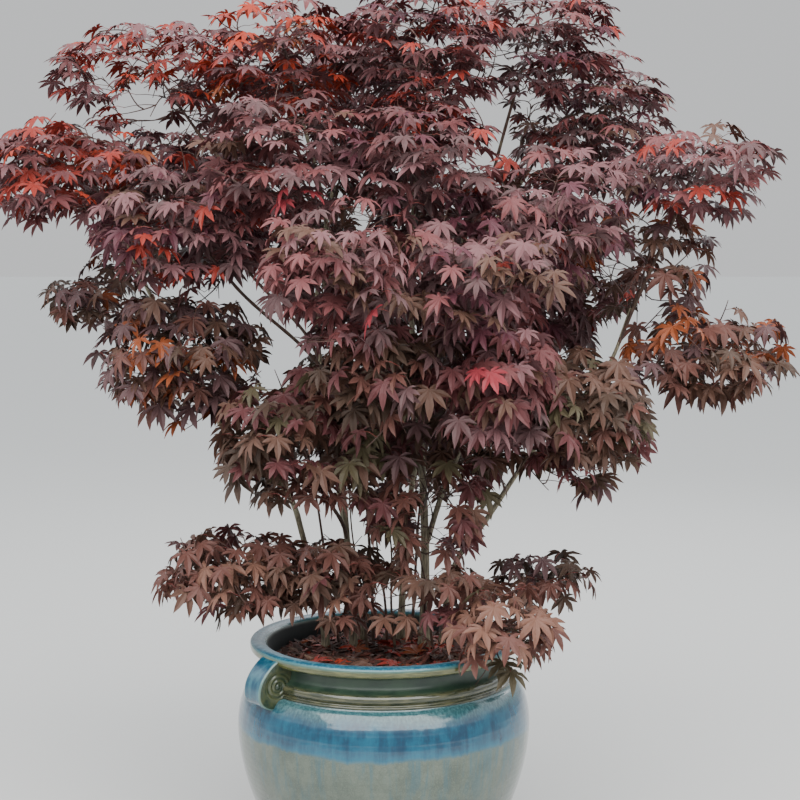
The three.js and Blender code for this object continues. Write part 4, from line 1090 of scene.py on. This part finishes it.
def growEnds(mass, twigs, rng):
    # the end of each twig carries pairs of leaves, and two finer twigs with a pair each; returns a row for
    # each leaf that may grow, and the finer twigs
    palette = palettes[mass["palette"]]
    names, shares = list(palette), np.array(list(palette.values()), float)
    rows, fineTwigs = [], []
    for bearer, twig in enumerate(twigs):
        curve, length = twig["curve"], twig["curve"]["length"]
        tint = rng.choice(names, p=shares / shares.sum())
        nodes = [(curve, max(growth["firstPair"], 1 - back / length), -1, tint)
                 for back in growth["pairBack"]]
        for hand, back in zip(rng.permutation([-1, 1]), growth["fineBack"]):
            at = max(growth["firstFine"], 1 - back / length)
            level = unit(heading(curve, at) * growth["fineLevel"])
            sideways = np.cross(up, level) * hand * growth["fineSpread"]
            start = along(curve, at)
            towards = unit(level + sideways + up * rng.uniform(*growth["fineRise"]))
            end = start + towards * rng.uniform(*growth["fineLength"])
            fine = bezier([start, (start + end) / 2 + up * growth["fineArch"], end], growth["fineSteps"])
            line = along(fine, np.linspace(0, 1, growth["fineStations"]))
            fineTwigs.append((line, growth["fineBase"], growth["fineTip"]))
            same = rng.uniform() < growth["sameTint"]
            fineTint = tint if same else rng.choice(names, p=shares / shares.sum())
            nodes.append((fine, growth["fineEnd"], len(fineTwigs) - 1, fineTint))
        for twigCurve, share, owner, nodeTint in nodes:
            root = along(twigCurve, share)
            away = unit((root - mass["centre"]) * [1, 1, 0] / mass["half"])
            level = unit(heading(twigCurve, share) * [1, 1, 0] + away * leafForm["awayPull"])
            for hand in (-1, 1):
                aside = np.cross(up, level) * hand * rng.uniform(*leafForm["aside"])
                outward = away * leafForm["outward"] * rng.uniform(*leafForm["outwardSpread"])
                out = unit(aside + level * leafForm["ahead"] + outward)
                rows.append([*root, *out, nodeTint, owner, bearer])
    return rows, fineTwigs


def growMass(mass, rng, wood, leafRows):
    # the spine runs through the mass, twigs branch from it to tips all through its space, and leaves grow at
    # their ends where they stay inside the space, clear of the gaps and of each other
    spine = growSpine(mass)
    line = along(spine, np.linspace(0, 1, growth["spineStations"]))
    wood["spines"].append((line, limbTaper["boughTip"] * growth["seatShare"], growth["spineTip"]))
    twigs = growTwigs(mass, spine, rng)
    rows, fineTwigs = growEnds(mass, twigs, rng)
    roots, outs = np.array([row[:3] for row in rows], float), np.array([row[3:6] for row in rows], float)
    sprays, owners = np.array([row[6] for row in rows]), np.array([row[7] for row in rows])
    amount = len(rows)
    stalk = rng.uniform(*leafForm["petiole"], amount)[:, None]
    hubs = roots + unit(outs + up * rng.uniform(*leafForm["petioleRise"], (amount, 1))) * stalk
    high = np.clip((roots[:, 2:] - leafForm["topFrom"]) / leafForm["topReach"], 0, 1)
    smallest, largest = leafForm["size"]
    sizes = smallest + (largest - smallest) * rng.beta(leafForm["sizeBell"], leafForm["sizeBell"], amount)
    sizes *= 1 - leafForm["topShrink"] * high[:, 0]
    hang = rng.uniform(*leafForm["hang"], (amount, 1)) * (1 - leafForm["topHang"] * high)
    pointing = unit(outs - up * hang)
    tips = hubs + pointing * sizes[:, None]
    keep = insideSpace(mass, hubs, *growth["hubRoom"]) & insideSpace(mass, tips, *growth["tipRoom"])
    inset = growth["boxInset"]
    keep &= np.all((hubs > cadLow + inset) & (hubs < cadHigh - inset), axis=1)
    keep &= ~inSightGap(hubs)
    for index in np.flatnonzero(keep):
        gaps = np.linalg.norm(hubs[:index][keep[:index]] - hubs[index], axis=1)
        keep[index] = not (gaps < leafForm["apart"]).any()
    wood["fine"] += [fineTwigs[index] for index in sorted(set(owners[keep].tolist()) - {-1})]
    bearing = {row[8] for row, kept in zip(rows, keep) if kept}
    for index in reversed(range(len(twigs))):  # a twig stays where it bears a leaf or a twig that stays
        if index in bearing:
            bearing.add(twigs[index]["parent"])
            line = along(twigs[index]["curve"], np.linspace(0, 1, growth["twigStations"]))
            wood["twigs"].append((line, growth["twigBase"], growth["twigTip"]))
    face = up + leafForm["tilt"] * outs + rng.normal(0, leafForm["faceSpread"], (amount, 3))
    for index in np.flatnonzero(keep):
        leaf = (hubs[index], pointing[index], face[index], sizes[index], roots[index])
        leafRows.setdefault(sprays[index], []).append(leaf)


def inSightGap(places):
    # where the line of sight from the camera to each place crosses the plane, near one of the gaps
    eye = np.array(cameraView["place"])
    share = (sightGaps["plane"] - eye[1]) / (places[:, 1:2] - eye[1])
    crossing = eye + (places - eye) * share

    def near(rows):
        across, down, radius = np.array(rows).T
        x = sightGaps["middle"][0] + (across - sightGaps["frame"]) / sightGaps["scale"]
        z = sightGaps["middle"][1] + (sightGaps["frame"] - down) / sightGaps["scale"]
        reach = radius / sightGaps["scale"]
        return np.any(np.hypot(crossing[:, :1] - x, crossing[:, 2:] - z) < reach, axis=1)

    return near(sightGaps["places"]) | near(sightGaps["windows"]) & (places[:, 1] < sightGaps["before"])


def joinTubes(rows, sides):
    # straight tapers from each row's first radius to its second, as one mesh
    lines = np.array([row[0] for row in rows])
    base, tip = np.array([row[1:] for row in rows]).T[..., None]
    share = np.linspace(0, 1, lines.shape[1])[None, :]
    return tubes(lines, base * (1 - share) + tip * share, sides)


def growCrown(shapes):
    # all masses in turn, then one mesh for each thickness of wood and for each tint of leaf
    rng = np.random.default_rng(growth["seed"])
    wood = {"spines": [], "twigs": [], "fine": []}
    leafRows = {}
    for name, mass in masses.items():
        mass["name"] = name
        growMass(mass, rng, wood, leafRows)
    bark = Paint("twig_bark").finish(Base_Color=growth["bark"], Roughness=growth["barkRoughness"])
    for key, sides in (("spines", "spineSides"), ("twigs", "twigSides"), ("fine", "fineSides")):
        points, quads, caps = joinTubes(wood[key], growth[sides])
        addPiece("crown_" + key, points, [quads, caps], bark, "young_bark")
    stalks = []
    for tint in sorted(leafRows):
        hubs, pointing, face, sizes, roots = [np.array(column) for column in zip(*leafRows[tint])]
        points, faces = placeLeaves(hubs, pointing, face, sizes, shapes, rng)
        colour, slotName = tints[tint]
        addPiece(tint + "_sprays", points, faces, leafPaint(tint, colour), slotName, False)
        lift = leafForm["petioleArch"] * np.linalg.norm(hubs - roots, axis=1)[:, None]
        stalks.append(np.stack([roots, (roots + hubs) / 2 + up * lift, hubs], 1))
    lines = np.concatenate(stalks)
    radii = np.full(lines.shape[:2], leafForm["petioleRadius"])
    points, quads, caps = tubes(lines, radii, leafForm["petioleSides"])
    surface = {"Base_Color": leafForm["petioleTint"], "Roughness": leafForm["petioleRoughness"]}
    addPiece("leaf_stalks", points, [quads, caps], Paint("leaf_stalk").finish(**surface), "red_leaves")
    for name, mass in masses.items():
        palette = palettes[mass["palette"]]
        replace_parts(bpy.data.objects[max(palette, key=palette.get) + "_sprays"], name + "_leaves")
    print("crown grown with", sum(len(rows) for rows in leafRows.values()), "leaves")


def scatterFallen(form, shapes):
    # leaves that lie on the mulch, a little tipped and curled
    rng = np.random.default_rng(form["seed"])
    for tint, count in form["counts"].items():
        hubs = scattered(form["reach"], form["lift"], count, rng)
        turn = rng.uniform(0, 2 * np.pi, count)
        pointing = np.stack([np.cos(turn), np.sin(turn), rng.normal(0.02, form["tip"], count)], 1)
        face = up + rng.normal(0, form["roll"], (count, 3))
        points, faces = placeLeaves(hubs, pointing, face, rng.uniform(*form["size"], count), shapes, rng)
        colour, slotName = tints[tint]
        addPiece("fallen_" + tint, points, faces, leafPaint("fallen_" + tint, colour), slotName, False)
    print("fallen leaves laid")


leafKinds = leafShapes(leafForm)
growCrown(leafKinds)
scatterFallen(fallen, leafKinds)
